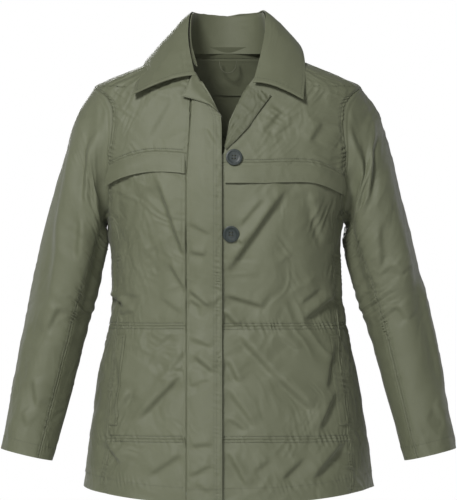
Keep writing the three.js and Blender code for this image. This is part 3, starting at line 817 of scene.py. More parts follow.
def make_fly():
    def edge(shift=0.0):
        return lambda z: front_turn(np.interp(z, FLY_EDGE[:, 0], FLY_EDGE[:, 1]) + shift, z)

    def seam(z):
        return front_turn(np.interp(z, INNER_EDGE[RIGHT][:, 0], INNER_EDGE[RIGHT][:, 1]) + 0.3, z)

    def cover_lie(turn, z):
        return lie_fly(torso(turn, z)[..., 0], z)

    body_panel("fly_cover_R_cloth", seam, edge(), still(-40), lambda turn, z: hem(turn) - 4,
               sewn=("left",), free=("right", "bottom"), lift=cover_lie, step=2.0, on=FRONT_BLEND[RIGHT],
               nodes=["fly_cover_top_R", "fly_cover_R"], groove=1.0, rests=("front_panel_R_cloth",))
    body_panel("buttonhole_strip_R_cloth", lambda z: front_turn(-42 + 0 * z, z), edge(-4.0), still(-268),
               still(HEM_Z + 12), sewn=("left",), free=("right",),
               lift=lambda turn, z: cover_lie(turn, z) - 2.2,
               on=FRONT_BLEND[RIGHT], materials=(INSIDE, INSIDE), slot="inner_cloth",
               rests=("fly_cover_R_cloth",))
    body_panel("button_stand_L_cloth", lambda z: front_turn(LEFT_EDGE_X + 1 + 0 * z, z),
               lambda z: front_turn(LEFT_EDGE_X + 62 + 0 * z, z), still(-300), still(HEM_Z + 6),
               sewn=("right",), free=("left",), lift=lambda turn, z: lie(turn, z) - 2.2, on=FRONT_BLEND[LEFT],
               materials=(INSIDE, INSIDE), slot="inner_cloth", rests=("front_panel_L_cloth",))


def make_pocket(side):
    """A pocket's narrow welt on the side seam, and the bag behind the skirt."""
    tag = TAG[side]

    def line(inset):
        return lambda z: side * front_turn(side_front_x(z) - inset, z)

    def welt_lie(turn, z):
        return lie(turn, z) + 1.7 + 0.8 * np.sin((z - POCKET_TOP_Z) / 142 * math.pi)

    left, right = (line(1.2), line(15)) if side == RIGHT else (line(15), line(1.2))
    mouth = "right" if side == RIGHT else "left"
    sewn = [edge for edge in ("left", "right", "top", "bottom") if edge != mouth]
    body_panel(f"pocket_welt_{tag}_cloth", left, right, still(POCKET_TOP_Z), still(POCKET_BOTTOM_Z),
               sewn=sewn, free=(mouth,), lift=welt_lie, step=1.8, rests=(f"front_skirt_{tag}_cloth",))
    left, right = (line(8), line(108)) if side == RIGHT else (line(108), line(8))
    body_panel(f"pocket_bag_{tag}_cloth", left, right, still(POCKET_TOP_Z + 2), still(POCKET_BOTTOM_Z - 36),
               sewn=("left", "right", "top", "bottom"), lift=lambda turn, z: lie(turn, z) - 4.6, step=4,
               on=f"front_{tag}", materials=(INSIDE, INSIDE), slot="inner_cloth", thick=1.6,
               rests=(f"front_skirt_{tag}_cloth",))


# ---------------------------------------------------------------- lapels
# x and height along the roll line, then along the free edge
LAPEL_ROLL = {
    RIGHT: [(-51, -24), (-40, -44), (-28, -63), (-18, -80), (-9.5, -98)],
    LEFT: [(31, -42), (24, -54), (13, -76), (4, -97), (-6, -141)],
}
LAPEL_FREE = {
    RIGHT: [(-61, -42), (-72, -64), (-52, -70), (-30, -78), (-12, -92)],
    LEFT: [(68, -60), (50, -84), (32, -110), (14, -130), (-3, -146)],
}


def make_lapel(side):
    tag = TAG[side]
    roll, free = np.array(LAPEL_ROLL[side], float), np.array(LAPEL_FREE[side], float)
    down = spaced(110, 1.8, must=(0.25,))[:, None]
    over = spaced(40, 1.8)[None, :]
    stops = np.linspace(0, 1, len(roll))
    line_roll = np.stack([np.interp(down[:, 0], stops, roll[:, k]) for k in (0, 1)], -1)
    line_free = np.stack([np.interp(down[:, 0], stops, free[:, k]) for k in (0, 1)], -1)
    flat = mix(line_roll[:, None], line_free[:, None], over[..., None])
    x, z = flat[..., 0], flat[..., 1]
    turn = front_turn(x, z)
    base, normal = torso(turn, z), outward(turn, z)
    start = 8.9 if side == RIGHT else 1.8
    rough = 0.5 if side == RIGHT else 2.6
    rise = start + mix(0.8, 3.6, ease(over * 1.4)) + 0 * down
    swell = 1.6 * np.sin(math.pi * np.clip(over, 0, 1)) + rough * crumple(3 * x, 3 * z, 60 + side, 0.9)
    lift = rise + swell + 0.4 * noise(x / 9, z / 9, 63)
    lift = lift - 2.4 * np.exp(-(over * 40 / 1.6) ** 2)
    outer = base + normal * lift[..., None]
    inner = base + normal * (lift - CLOTH)[..., None]
    seam, rub_and_highlight, _ = edge_marks(base, ("left",), ("right", "top", "bottom"))
    flip = side == RIGHT
    if flip:
        outer, inner, seam, rub_and_highlight = (g[:, ::-1] for g in (outer, inner, seam, rub_and_highlight))
    materials = (SHELL, INSIDE) if side == RIGHT else (INSIDE, SHELL)
    piece = shell(f"lapel_{tag}_cloth", outer, inner, materials, seam, rub_and_highlight)
    dress(piece, "root", [f"lapel_{tag}"], flat=flat_size(base))
    edge = -3 if side == LEFT else 3
    rows = [(outer[:, edge], normal_of(outer)[:, edge])]
    if side == RIGHT:
        low = int(0.27 * len(outer))
        rows = [(outer[low:, 3], normal_of(outer)[low:, 3]), (outer[:low, 3], normal_of(outer)[:low, 3])]
    return rows


# ---------------------------------------------------------------- collar
# each line runs from the centre back round to the front on one side
COLLAR_ROLL = {
    RIGHT: [(0, 68, 74), (-46, 51, 77), (-60, 9, 73), (-63, -38, 30), (-52, -84, -27)],
    LEFT: [(0, 68, 74), (44, 51, 79), (60, 12, 76), (56, -38, 24), (40, -88, -38)],
}
COLLAR_EDGE = {
    RIGHT: [(0, 92, 14), (-84, 68, 16), (-127, 10, 1), (-142, -44, -28), (-151, -88, -57)],
    LEFT: [(0, 92, 14), (78, 68, 20), (113, 12, 26), (123, -44, -12), (119, -98, -65)],
}
STAND_BASE = [(0, 66, 14), (46, 50, 13), (69, 4, 13), (61, -43, 6), (52, -59, -9)]
STAND_TOP = [(0, 64, 74), (43, 47, 77), (58, 8, 73), (59, -34, 31), (49, -70, -12)]


def normal_of(grid):
    """Unit normals of a grid of points, on its outer side."""
    down, over = np.gradient(grid, axis=0), np.gradient(grid, axis=1)
    normal = np.cross(down, over)
    return normal / np.maximum(np.linalg.norm(normal, axis=-1, keepdims=True), 1e-9)


def make_collar():
    rows = {}
    for side in (RIGHT, LEFT):
        tag = TAG[side]
        over = spaced(215, 2.2)
        down = spaced(96, 2.2)
        roll = curve(COLLAR_ROLL[side], over * 4)
        edge = curve(COLLAR_EDGE[side], over * 4)
        share = down[:, None, None]
        grid = mix(roll[None], edge[None], share)
        # the fall arches over and away from the neck before it drops to its edge
        arch = np.sin(math.pi * share ** 0.8)
        grid = grid + arch * np.array([0, 0, 6.0])
        if side == RIGHT:
            grid = grid[:, ::-1]
        normal = normal_of(grid)
        outness = np.sign((normal * (grid - np.array([0, 0, -60.0]))).sum(-1).mean())
        normal = normal * outness
        across, length = over[::-1] if side == RIGHT else over, down
        a, b = across[None, :] * 215, length[:, None] * 96
        ripple = crumple(a, b, 70 + side, 1.5) + 1.1 * noise(a / 34, b / 40, 72 + side)
        from_edge = np.minimum(96 - b, (1 - across[None, :]) * 215)
        ripple = ripple * ease(from_edge / 10 + 0.25) + pucker(from_edge - 6, a + b, 74 + side, 0.35, 6, 8)
        ripple = ripple - 0.5 * np.exp(-(from_edge / 1.0) ** 2)
        crumpled = grid + normal * ripple[..., None]
        crumpled = crumpled + normal * 1.0
        under = crumpled - normal * 1.6
        seam, rub_and_highlight, _ = edge_marks(grid, ("top",), ("bottom", "left" if side == RIGHT else "right"))
        # a weaker seam mark: lighter painted seam shade along the collar's sewn edge
        piece = shell(f"collar_{tag}_cloth", crumpled, under, (SHELL, SHELL), 0.4 * seam, rub_and_highlight,
                      flip=outness < 0)
        nodes = [f"collar_wing_{tag}"] + (["collar_fall_back"] if side == RIGHT else [])
        dress(piece, COLLAR_BLEND[side], nodes, flat=flat_size(grid))
        # two topstitch lines meet at the collar's point
        low = int(np.argmin(np.abs(b[:, 0] - 90)))
        front = int(np.argmin(np.abs(from_edge[0] - 6)))
        ends = slice(front, None) if side == RIGHT else slice(0, front + 1)
        rows[side] = [(crumpled[low, ends], normal[low, ends]),
                      (crumpled[:low + 1, front], normal[:low + 1, front])]

    def both(points):
        right = [(-x, y, z) for x, y, z in points[:0:-1]]
        return right + list(points)

    over = spaced(330, 2.6)
    down = spaced(55, 2.6)
    low, high = curve(both(STAND_BASE), over * 8), curve(both(STAND_TOP), over * 8)
    grid = mix(high[None], low[None], down[:, None, None])
    normal = normal_of(grid)
    grid = grid + normal * (crumple(over[None, :] * 330, down[:, None] * 55, 77, 0.8))[..., None]
    piece = shell("collar_stand_cloth", grid + normal * 0.8, grid - normal * 0.8, (SHELL, INSIDE))
    dress(piece, "root", ["collar_stand"], flat_size(grid))
    return rows


# ---------------------------------------------------------------- sleeves
# outer and inner outline of the sleeve as x and height, its half depth and the y of its middle
SLEEVE_OUTER = [
    (213, -49), (239, -88), (262, -160), (287, -250), (305, -326), (322, -407), (342, -512), (361.6, -619),
]
SLEEVE_INNER = [
    (195, -259), (194, -270), (191, -292), (199, -332), (212, -385), (227, -432), (254, -535), (282, -638),
]
SLEEVE_DEPTH = [62, 62, 62, 60, 58, 56, 50, 45]
SLEEVE_MIDDLE = [0, 0, 0, 1, 2, 3, -8, -22]
SLEEVE_SEAM = math.radians(122)
SLEEVE_RINGS = 7
ARMPIT_SHIFT = math.radians(31)   # the seams start this much further under the arm
SPLIT_RING = 4
# start and end ring, start and end angle in degrees from the outer edge, depth, width
SLEEVE_FOLDS = {
    RIGHT: [(0.5, 64, 2.2, 88, 4.2, 7), (1.4, 24, 3.6, 50, 3.0, 9), (2.4, 88, 3.4, 100, 3.4, 6),
            (3.0, 52, 4.8, 68, 2.0, 9), (4.6, 92, 5.2, 78, 2.4, 6), (1.0, 96, 1.9, 108, 3.4, 6),
            (5.9, 70, 6.3, 92, 2.2, 6), (6.4, 62, 6.6, 84, 1.6, 6), (5.0, 40, 6.4, 34, 1.6, 10)],
    LEFT: [(0.4, 70, 1.2, 98, 3.8, 6), (1.1, 60, 2.0, 92, 3.2, 7), (1.9, 30, 4.4, 44, 2.8, 10),
           (2.6, 84, 3.6, 96, 2.6, 6), (4.2, 36, 6.2, 30, 3.0, 10), (4.6, 92, 5.0, 76, 2.4, 6),
           (6.3, 64, 6.6, 40, 2.0, 7), (1.3, 104, 1.8, 114, 3.0, 5), (3.6, 84, 4.0, 70, 1.6, 6)],
}
RING_LENGTH = 84              # one ring step is about this long


def sleeve_seam(ring):
    """Angle of the front seam; the back seam is its mirror."""
    return SLEEVE_SEAM + ARMPIT_SHIFT * (1 - ease((ring - 0.7) / 3.0))


def sleeve_form(side, angle, ring):
    """The sleeve's form: angle 0 is its outer edge, 90 degrees its front."""
    outer, inner = curve(SLEEVE_OUTER, ring), curve(SLEEVE_INNER, ring)
    depth, middle_y = curve(SLEEVE_DEPTH, ring)[..., 0], curve(SLEEVE_MIDDLE, ring)[..., 0]
    cosine, sine = np.cos(angle), np.sin(angle)
    middle, reach = (outer + inner) / 2, (outer - inner) / 2
    x, z = middle[..., 0] + reach[..., 0] * cosine, middle[..., 1] + reach[..., 1] * cosine
    y = middle_y - depth * sine
    # the top ring is the armhole itself
    centre, half = armhole_centre()
    arm_z = centre + half * np.sign(cosine) * np.abs(cosine) ** (2 / 3)
    arm_y = -ARMHOLE_DEPTH * np.sign(sine) * np.abs(sine) ** (2 / 3)
    deep = np.where(arm_y < 0, table(TORSO, arm_z, 2), table(TORSO, arm_z, 3))
    arm_x = table(TORSO, arm_z) * (1 - np.clip(np.abs(arm_y) / deep, 0, 1) ** ROUNDNESS) ** (1 / ROUNDNESS)
    if side == LEFT:
        arm_x = arm_x * pulled_in(arm_z)
        x = x - 6 * np.exp(-((z + 300) / 70) ** 2) * ease((0.4 - cosine) / 1.2)
    share = ease(ring / 0.95)
    x, y, z = mix(arm_x, x, share), mix(arm_y, y, share), mix(arm_z, z, share)
    return np.stack([side * x, y, z], -1)


def sleeve_lie(side, angle, ring):
    """How far the sleeve's cloth stands off its form."""
    around, along = angle * 50, ring * RING_LENGTH
    lift = BASE + crumple(around, along, 80 + side, 2.0) * ease(ring / 0.4)
    lift = lift + 1.6 * np.sin(3 * angle + ring * 0.9 + side) * ease(ring / 1.2)
    # the cloth sinks in beside the lower armhole and along the inside of the arm
    degrees = np.degrees(angle) % 360
    beside = np.exp(-((ring - 0.55) / 0.3) ** 2) * ease((degrees - 82) / 30) * ease((190 - degrees) / 30)
    inside = np.exp(-((degrees - 143) / 19) ** 2) * ease((ring - 0.5) / 0.8)
    inside = inside * mix(1, 0.25, ease((ring - 3) / 2.5))
    lift = lift - 11 * beside - 9 * inside
    for ring0, degrees0, ring1, degrees1, depth, width in SLEEVE_FOLDS[side]:
        start = (math.radians(degrees0) * 50, -ring0 * RING_LENGTH)
        end = (math.radians(degrees1) * 50, -ring1 * RING_LENGTH)
        lift = lift + crease(around, -along, start, end, depth, width)
    for seam, strength in ((sleeve_seam(ring), 1.0), (2 * math.pi - sleeve_seam(ring), 0.6)):
        gap = (seam - angle % (2 * math.pi)) * 50
        lift = lift + pucker(gap, along, 84 + side, 0.9, 9, 8)
        # short creases run outwards from the seam
        phase = along / 31 + 1.5 * noise(along / 55, 0.5, 86 + side) + gap / 80
        tooth = np.sin(2 * math.pi * phase) + 0.45 * np.sin(4 * math.pi * phase + 0.8)
        size = np.clip(0.45 + 0.9 * noise(along / 37, 1.5, 88 + side), 0, 1.3)
        fade = np.exp(-(np.abs(gap) / 26) ** 2)
        lift = lift + strength * 1.2 * size * tooth * fade * ease((ring - 0.4) / 0.8)
    # elbow creases on the inner side
    bend = np.exp(-((ring - 4.3) / 0.9) ** 2) * ease((np.abs(angle - math.pi) < 1.2) * 1.0)
    lift = lift + 0.8 * bend * np.sin(along / 5.5 + 2 * noise(around / 30, along / 60, 92))
    cuff_gap = (SLEEVE_RINGS - ring) * 108
    lift = lift + pucker(cuff_gap - CUFF_STITCH, around, 94 + side, 0.6, 8, 9)
    return mix(lift, BASE, ease(1 - cuff_gap / 16) * 0.5)


def make_sleeve(side):
    tag = TAG[side]
    lift_blend = ("root", f"sleeve_{tag}", (side * 249, 0, -81), (side * 302, 0, -98.6))
    bend_blend = (f"sleeve_{tag}", f"forearm_{tag}", (side * 94, 0, -413.5), (side * 115.2, 0, -507))
    stitched = {}

    def part(name, is_top, ring0, ring1, on, nodes, sewn, free=()):
        width = (SLEEVE_SEAM if is_top else math.pi - SLEEVE_SEAM) * 2 * 52
        length = (ring1 - ring0) * RING_LENGTH
        rings = mix(ring0, ring1, spaced(length, FRONT_STEP))
        share, ring = np.meshgrid(spaced(width, FRONT_STEP), rings)
        seam_at = sleeve_seam(ring)
        start, end = (-seam_at, seam_at) if is_top else (seam_at, 2 * math.pi - seam_at)
        angle = mix(start, end, share)
        form = sleeve_form(side, angle, ring)
        around = sleeve_form(side, angle + 0.01, ring) - sleeve_form(side, angle - 0.01, ring)
        down = sleeve_form(side, angle, np.minimum(ring + 0.02, SLEEVE_RINGS)) - sleeve_form(
            side, angle, np.maximum(ring - 0.02, 0))
        normal = np.cross(down, around) * -side
        normal = normal / np.maximum(np.linalg.norm(normal, axis=-1, keepdims=True), 1e-9)
        seam, rub_and_highlight, gap = edge_marks(form, sewn, free)
        height = sleeve_lie(side, angle, ring) - 1.0 * np.exp(-(gap / 1.2) ** 2)
        height = height - 0.5 * np.exp(-((gap - STITCH_GAP) / 1.1) ** 2)
        outer = form + normal * height[..., None]
        inner = form + normal * (height - CLOTH)[..., None]
        piece = shell(name, outer, inner, (SHELL, INSIDE), seam, rub_and_highlight, flip=side == LEFT)
        dress(piece, on, nodes, flat=flat_size(form))
        return outer, normal

    for kind, is_top in (("sleeve", True), ("undersleeve", False)):
        upper = part(f"upper_{kind}_{tag}_cloth", is_top, 0.0, SPLIT_RING, lift_blend,
                     [f"upper_{kind}_{tag}"], ("left", "right", "top"))
        lower = part(f"lower_{kind}_{tag}_cloth", is_top, SPLIT_RING, SLEEVE_RINGS, bend_blend,
                     [f"lower_{kind}_{tag}"], ("left", "right"), ("bottom",))
        if kind == "sleeve":
            for key, (outer, normal) in (("upper", upper), ("lower", lower)):
                stitched[key] = [(outer[:, inset], normal[:, inset]) for inset in (-5, 5)]
        hem_row = -1 - int(round(CUFF_STITCH / FRONT_STEP / 1.28)) - 3
        stitched.setdefault("cuff", []).append((lower[0][hem_row], lower[1][hem_row]))

    # the cuff's turned-up facing, a ring inside the end of the sleeve
    angle, ring = np.meshgrid(np.linspace(0, 2 * math.pi, 150),
                              np.linspace(SLEEVE_RINGS - 0.21, SLEEVE_RINGS - 0.006, 8))
    form = sleeve_form(side, angle, ring)
    centre = form.mean(1, keepdims=True)
    inward = centre - form
    inward = inward / np.linalg.norm(inward, axis=-1, keepdims=True)
    depth = 1.3 - sleeve_lie(side, angle, ring) + BASE
    outer = form + inward * depth[..., None]
    inner = form + inward * (depth + 0.8)[..., None]
    piece = shell(f"cuff_facing_{tag}_cloth", outer, inner, (INSIDE, INSIDE), flip=side == LEFT)
    dress(piece, f"forearm_{tag}", [f"cuff_facing_{tag}"], flat_size(form))
    return stitched, lift_blend, bend_blend


# ---------------------------------------------------------------- stitching
STITCH_PITCH, STITCH_LENGTH, STITCH_HALF = 3.4, 2.6, 0.4


def stitch_mesh(name, rows, on):
    """Rows of stitches as one piece. Each row is a line of points and their outward normals."""
    points, faces, count = [], [], 0
    for line, normal in rows:
        walked = np.concatenate([[0], np.cumsum(np.linalg.norm(np.diff(line, axis=0), axis=-1))])
        number = int(walked[-1] / STITCH_PITCH)
        if number < 1:
            continue
        starts = (np.arange(number) + 0.5) * walked[-1] / number - STITCH_LENGTH / 2
        for share in (0.0, 0.5, 1.0):
            at = starts + share * STITCH_LENGTH
            place = np.stack([np.interp(at, walked, line[:, k]) for k in range(3)], -1)
            out = np.stack([np.interp(at, walked, normal[:, k]) for k in range(3)], -1)
            out = out / np.linalg.norm(out, axis=-1, keepdims=True)
            ahead = np.stack([np.interp(at + 1, walked, line[:, k]) - np.interp(at - 1, walked, line[:, k])
                              for k in range(3)], -1)
            wide = np.cross(out, ahead)
            wide = wide / np.maximum(np.linalg.norm(wide, axis=-1, keepdims=True), 1e-9)
            size = STITCH_HALF * (1 if share == 0.5 else 0.35)
            lift = 0.22 if share == 0.5 else -0.1
            ring = [place + out * (lift + size * 0.8), place + wide * size + out * (lift - 0.1),
                    place - out * (size * 0.6 - lift), place - wide * size + out * (lift - 0.1)]
            points.append(np.stack(ring, 1))
        first, second, third = points[-3:]
        points = points[:-3]
        points.append(np.concatenate([first, second, third], 1).reshape(-1, 3))
        corner = count + np.arange(number)[:, None] * 12
        for base in (0, 4):
            for k in range(4):
                m = (k + 1) % 4
                faces.append(corner + np.array([base + k, base + 4 + k, base + 4 + m, base + m]))
        faces.append(corner + np.array([0, 1, 2, 3]))
        faces.append(corner + np.array([11, 10, 9, 8]))
        count += number * 12
    piece = make_mesh(name, np.concatenate(points), np.concatenate(faces), (THREAD,))
    return dress(piece, on)


def torso_row(turn, z, lift=None, extra=0.0):
    """A line on the body as points and normals."""
    turn, z = np.broadcast_arrays(np.asarray(turn, float), np.asarray(z, float))
    normal = outward(turn, z)
    height = (lift or lie)(turn, z) + extra
    return torso(turn, z) + normal * height[..., None], normal


def make_stitches(lapels, collars, sleeves):
    fine = 260
    rows = {"root": [], "front_R": [], "front_L": [], "fly": []}
    back = np.linspace(-1, 1, fine * 3)
    sweep = np.linspace(0, 1, fine)
    for gap in (STITCH_GAP, -STITCH_GAP):
        z = WAIST_Z + gap
        seam = back_seam_turn(np.array(z))
        rows["root"].append(torso_row(math.pi + back * (math.pi - seam), z))
    z = hem(math.pi + back * 1.45) + HEM_STITCH
    rows["root"].append(torso_row(math.pi + back * (math.pi - back_seam_turn(z)), z))
    yoke_reach = armhole_turn(np.array(BACK_YOKE_Z + 6.0), True)
    rows["root"].append(torso_row(math.pi + back * yoke_reach, BACK_YOKE_Z + 6.0))
    for side in (RIGHT, LEFT):
        name = f"front_{TAG[side]}"
        for gap in (STITCH_GAP, -STITCH_GAP):
            z = WAIST_Z + gap
            near, far = front_turn(side_front_x(np.array(z)), z), back_seam_turn(np.array(z))
            rows["root"].append(torso_row(side * mix(near, far, sweep), z))
        start = FLY_SEAM_X - 3 if side == RIGHT else -7
        for z in [seam + gap for seam in (WAIST_Z, LOWER_SEAM_Z) for gap in (STITCH_GAP, -STITCH_GAP)]:
            x = mix(start, side * (side_front_x(np.array(z)) - 2), sweep)
            rows[name].append(torso_row(front_turn(x, z), z))
        x = mix(start, side * 193, sweep)
        turn = front_turn(x, HEM_Z + 24)
        rows[name].append(torso_row(turn, hem(turn) + HEM_STITCH))
        near = front_turn(side_front_x(np.array(-676.0)), -676)
        turn = side * mix(near, back_seam_turn(np.array(-676.0)), sweep)
        rows["root"].append(torso_row(turn, hem(turn) + HEM_STITCH))
        # both sides of the side-front seam, and round the armhole
        z = mix(ARMPIT_Z + 20, HEM_Z + 22, sweep)
        for gap in (0.024, 0.05):
            rows["root"].append(torso_row(side * (front_turn(side_front_x(z), z) + gap), z))
        z = mix(SHOULDER_Z - 3, -226, sweep)
        for gap in (0.034, 0.064):
            rows["root"].append(torso_row(side * (armhole_turn(z) - gap), z))
            rows["root"].append(torso_row(math.pi - side * (armhole_turn(z, True) - gap), z))
        x = mix(FLY_SEAM_X - 4 if side == RIGHT else 26, side * 196, sweep)
        z = yoke_seam(side, x) + STITCH_GAP
        rows["root"].append(torso_row(front_turn(x, z), z))
        # the welt's edge
        z = mix(POCKET_TOP_Z - 2, POCKET_BOTTOM_Z + 2, sweep)
        rows["root"].append(torso_row(side * front_turn(side_front_x(z) - 12, z), z, extra=2.2))
    z = mix(-60.0, HEM_Z + 2, sweep)
    edge = np.interp(z, FLY_EDGE[:, 0], FLY_EDGE[:, 1])

    def on_cover(turn, height):
        return lie_fly(torso(turn, height)[..., 0], height)

    for gap in (2.0, 8.5, 12.5):
        rows["fly"].append(torso_row(front_turn(edge - gap, z), z, on_cover))
    x = mix(FLY_SEAM_X + 3, FLY_EDGE_X - 2, sweep)
    turn = front_turn(x, HEM_Z + 24)
    rows["fly"].append(torso_row(turn, hem(turn) + HEM_STITCH - 2, on_cover))
    stitch_mesh("stitches_body", rows["root"] + lapels, "root")
    stitch_mesh("stitches_front_R", rows["front_R"], FRONT_BLEND[RIGHT])
    stitch_mesh("stitches_front_L", rows["front_L"], FRONT_BLEND[LEFT])
    stitch_mesh("stitches_fly", rows["fly"], FRONT_BLEND[RIGHT])
    for side in (RIGHT, LEFT):
        tag = TAG[side]
        stitch_mesh(f"stitches_collar_{tag}", collars[side], COLLAR_BLEND[side])
        stitched, lift_blend, bend_blend = sleeves[side]
        stitch_mesh(f"stitches_upper_sleeve_{tag}", stitched["upper"], lift_blend)
        stitch_mesh(f"stitches_lower_sleeve_{tag}", stitched["lower"] + stitched["cuff"], bend_blend)


# ---------------------------------------------------------------- buttons and loop
BUTTON_RADIUS, BUTTON_THICK = 13.0, 3.0
HOLE_PLACE, HOLE_RADIUS = 2.3, 1.05


def deselect():
    bpy.ops.object.select_all(action="DESELECT")


def select_faces(piece, wanted):
    """Leaves edit mode with only the wanted faces selected, then enters it again."""
    bpy.ops.object.mode_set(mode="EDIT")
    bpy.ops.mesh.select_mode(type="FACE")
    bpy.ops.mesh.select_all(action="DESELECT")
    bpy.ops.object.mode_set(mode="OBJECT")
    for face in piece.data.polygons:
        face.select = wanted(face)
    bpy.ops.object.mode_set(mode="EDIT")


def make_button_blank():
    """A button lying flat on the origin, its face up: a domed rim, a step and a hollow with four holes."""
    deselect()
    bpy.ops.mesh.primitive_cylinder_add(vertices=72, radius=BUTTON_RADIUS * MM, depth=BUTTON_THICK * MM,
                                        location=(0, 0, BUTTON_THICK / 2 * MM))
    blank = bpy.context.object
    select_faces(blank, lambda face: face.normal.z > 0.9)
    bpy.ops.mesh.inset(thickness=1.0 * MM)
    bpy.ops.transform.translate(value=(0, 0, 0.35 * MM))
    bpy.ops.mesh.inset(thickness=1.9 * MM)
    bpy.ops.mesh.inset(thickness=0.7 * MM)
    bpy.ops.transform.translate(value=(0, 0, -0.85 * MM))
    bpy.ops.mesh.inset(thickness=0.5 * MM)
    bpy.ops.mesh.inset(thickness=1.6 * MM)
    bpy.ops.transform.translate(value=(0, 0, -0.5 * MM))
    bpy.ops.mesh.inset(thickness=1.0 * MM)
    bpy.ops.object.mode_set(mode="OBJECT")
    for x, y in ((-1, -1), (-1, 1), (1, -1), (1, 1)):
        deselect()
        bpy.ops.mesh.primitive_cylinder_add(vertices=20, radius=HOLE_RADIUS * MM, depth=BUTTON_THICK * 3 * MM,
                                            location=(x * HOLE_PLACE * MM, y * HOLE_PLACE * MM, 0))
        drill = bpy.context.object
        deselect()
        blank.select_set(True)
        bpy.context.view_layer.objects.active = blank
        cut = blank.modifiers.new("hole", "BOOLEAN")
        cut.operation, cut.object = "DIFFERENCE", drill
        bpy.ops.object.modifier_apply(modifier=cut.name)
        bpy.data.objects.remove(drill)
    bevel = blank.modifiers.new("edge", "BEVEL")
    bevel.width, bevel.segments, bevel.limit_method = 0.28 * MM, 3, "ANGLE"
    bevel.angle_limit = math.radians(28)
    bpy.ops.object.modifier_apply(modifier=bevel.name)
    bpy.ops.object.shade_smooth_by_angle(angle=math.radians(40))
    blank.data.transform(blank.matrix_world)
    blank.matrix_world.identity()
    blank.location = (0, 0, 0)
    return blank


def frame_at(x, z):
    """A place on the front and the three directions there: right, up and out."""
    turn = front_turn(np.array(float(x)), float(z))
    out = outward(turn, np.array(float(z)))
    right = np.array([1.0, 0, 0]) - out * out[0]
    right = right / np.linalg.norm(right)
    return torso(turn, np.array(float(z))), right, np.cross(out, right), out


def make_buttons():
    blank = make_button_blank()
    for number, x in enumerate(BUTTON_X, 1):
        z = FIRST_BUTTON_Z - (number - 1) * BUTTON_PITCH
        body = "root" if number < 3 else "front_L"
        low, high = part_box(f"button_{number}")
        _, right, up, out = frame_at(x, z)
        centre = np.array((low + high) / 2) / MM - out * (BUTTON_THICK / 2)
        place = np.eye(4)
        place[:3, 0], place[:3, 1], place[:3, 2], place[:3, 3] = right, up, out, centre * MM
        button = blank.copy()
        button.data = blank.data.copy()
        bpy.context.scene.collection.objects.link(button)
        button.name = f"button_{number}_disc"
        button.data.transform(Matrix(place.tolist()))
        button.data.materials.append(RESIN)
        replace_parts(dress(button, body), f"button_{number}")
        make_button_thread(number, centre, right, up, out, body)
    bpy.data.objects.remove(blank)


def make_button_thread(number, centre, right, up, out, body):
    """The thread through the four holes, and the wound neck under the button."""
    points, faces = [], []

    def bar(start, end, radius, sides=8, arch=0.0, steps=7):
        first = len(points)
        ahead = (end - start) / np.linalg.norm(end - start)
        wide = np.cross(ahead, out if abs(ahead @ out) < 0.9 else right)
        wide = wide / np.linalg.norm(wide)
        high = np.cross(wide, ahead)
        for k in range(steps):
            share = k / (steps - 1)
            middle = start + (end - start) * share + out * arch * math.sin(math.pi * share)
            size = radius * (0.2 if k in (0, steps - 1) else 1.0)
            for m in range(sides):
                angle = 2 * math.pi * m / sides
                points.append(middle + size * (wide * math.cos(angle) + high * math.sin(angle)))
        for k in range(steps - 1):
            for m in range(sides):
                a, b = first + k * sides + m, first + k * sides + (m + 1) % sides
                faces.append((a, b, b + sides, a + sides))
        for m in range(1, sides - 2, 2):
            faces.append((first, first + m + 2, first + m + 1, first + m))
            last = first + (steps - 1) * sides
            faces.append((last, last + m, last + m + 1, last + m + 2))

    face = centre + out * 1.75
    for row in (-1, 1):
        for strand in (-0.35, 0.35):
            side = up * (row * HOLE_PLACE + strand)
            bar(face + side - right * HOLE_PLACE, face + side + right * HOLE_PLACE, 0.36, arch=0.5)
    for k in range(4):
        angle = k * math.pi / 2
        offset = 1.3 * (right * math.cos(angle) + up * math.sin(angle))
        bar(centre - out * 2.0 + offset, centre + out * 0.6 + offset, 1.1)
    piece = make_mesh(f"button_{number}_thread", np.array(points), np.array(faces), (THREAD,))
    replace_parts(dress(piece, body), f"button_thread_{number}")


def make_hanger_loop():
    """A narrow folded tape, caught at both ends under the collar stand."""
    low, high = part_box("hanger_loop")
    half = (high.x - low.x) / 2 / MM - 1.6
    top, bottom, y = high.z / MM, low.z / MM + 1.6, (low.y + high.y) / 2 / MM
    share = np.linspace(0, math.pi, 61)
    height = top - (top - bottom) * np.sin(share) ** 0.8
    middle = np.stack([-half * np.cos(share), y + 0 * share, height], -1)
    ahead = np.gradient(middle, axis=0)
    ahead = ahead / np.linalg.norm(ahead, axis=-1, keepdims=True)
    deep = np.array([0, 1.0, 0])
    wide = np.cross(ahead, deep)
    angles = np.linspace(0, 2 * math.pi, 17)[:-1]
    ring = np.sign(np.cos(angles)) * np.abs(np.cos(angles)) ** 0.5 * 1.5, np.sin(angles) * 0.8
    rows, sides = len(middle), len(angles)
    across, through = wide[:, None] * ring[1][None, :, None], deep * ring[0][None, :, None]
    points = (middle[:, None] + across + through).reshape(-1, 3)
    index = np.arange(rows * sides).reshape(rows, sides)
    turned = np.roll(index, -1, axis=1)
    quads = np.stack([index[:-1], turned[:-1], turned[1:], index[1:]], -1).reshape(-1, 4)
    start, end, fans = index[0], index[-1], range(1, sides - 2, 2)
    caps = [(start[0], start[m + 2], start[m + 1], start[m]) for m in fans]
    caps += [(end[0], end[m], end[m + 1], end[m + 2]) for m in fans]
    walked = np.arange(rows)[:, None] * 1.0 + np.zeros(sides)[None, :]
    uv = np.stack([np.tile(angles, rows), walked.ravel()], -1)
    piece = make_mesh("hanger_loop_tape", points, np.concatenate([quads, caps]), (TAPE,), uv=uv)
    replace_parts(dress(piece, "loop"), "hanger_loop")


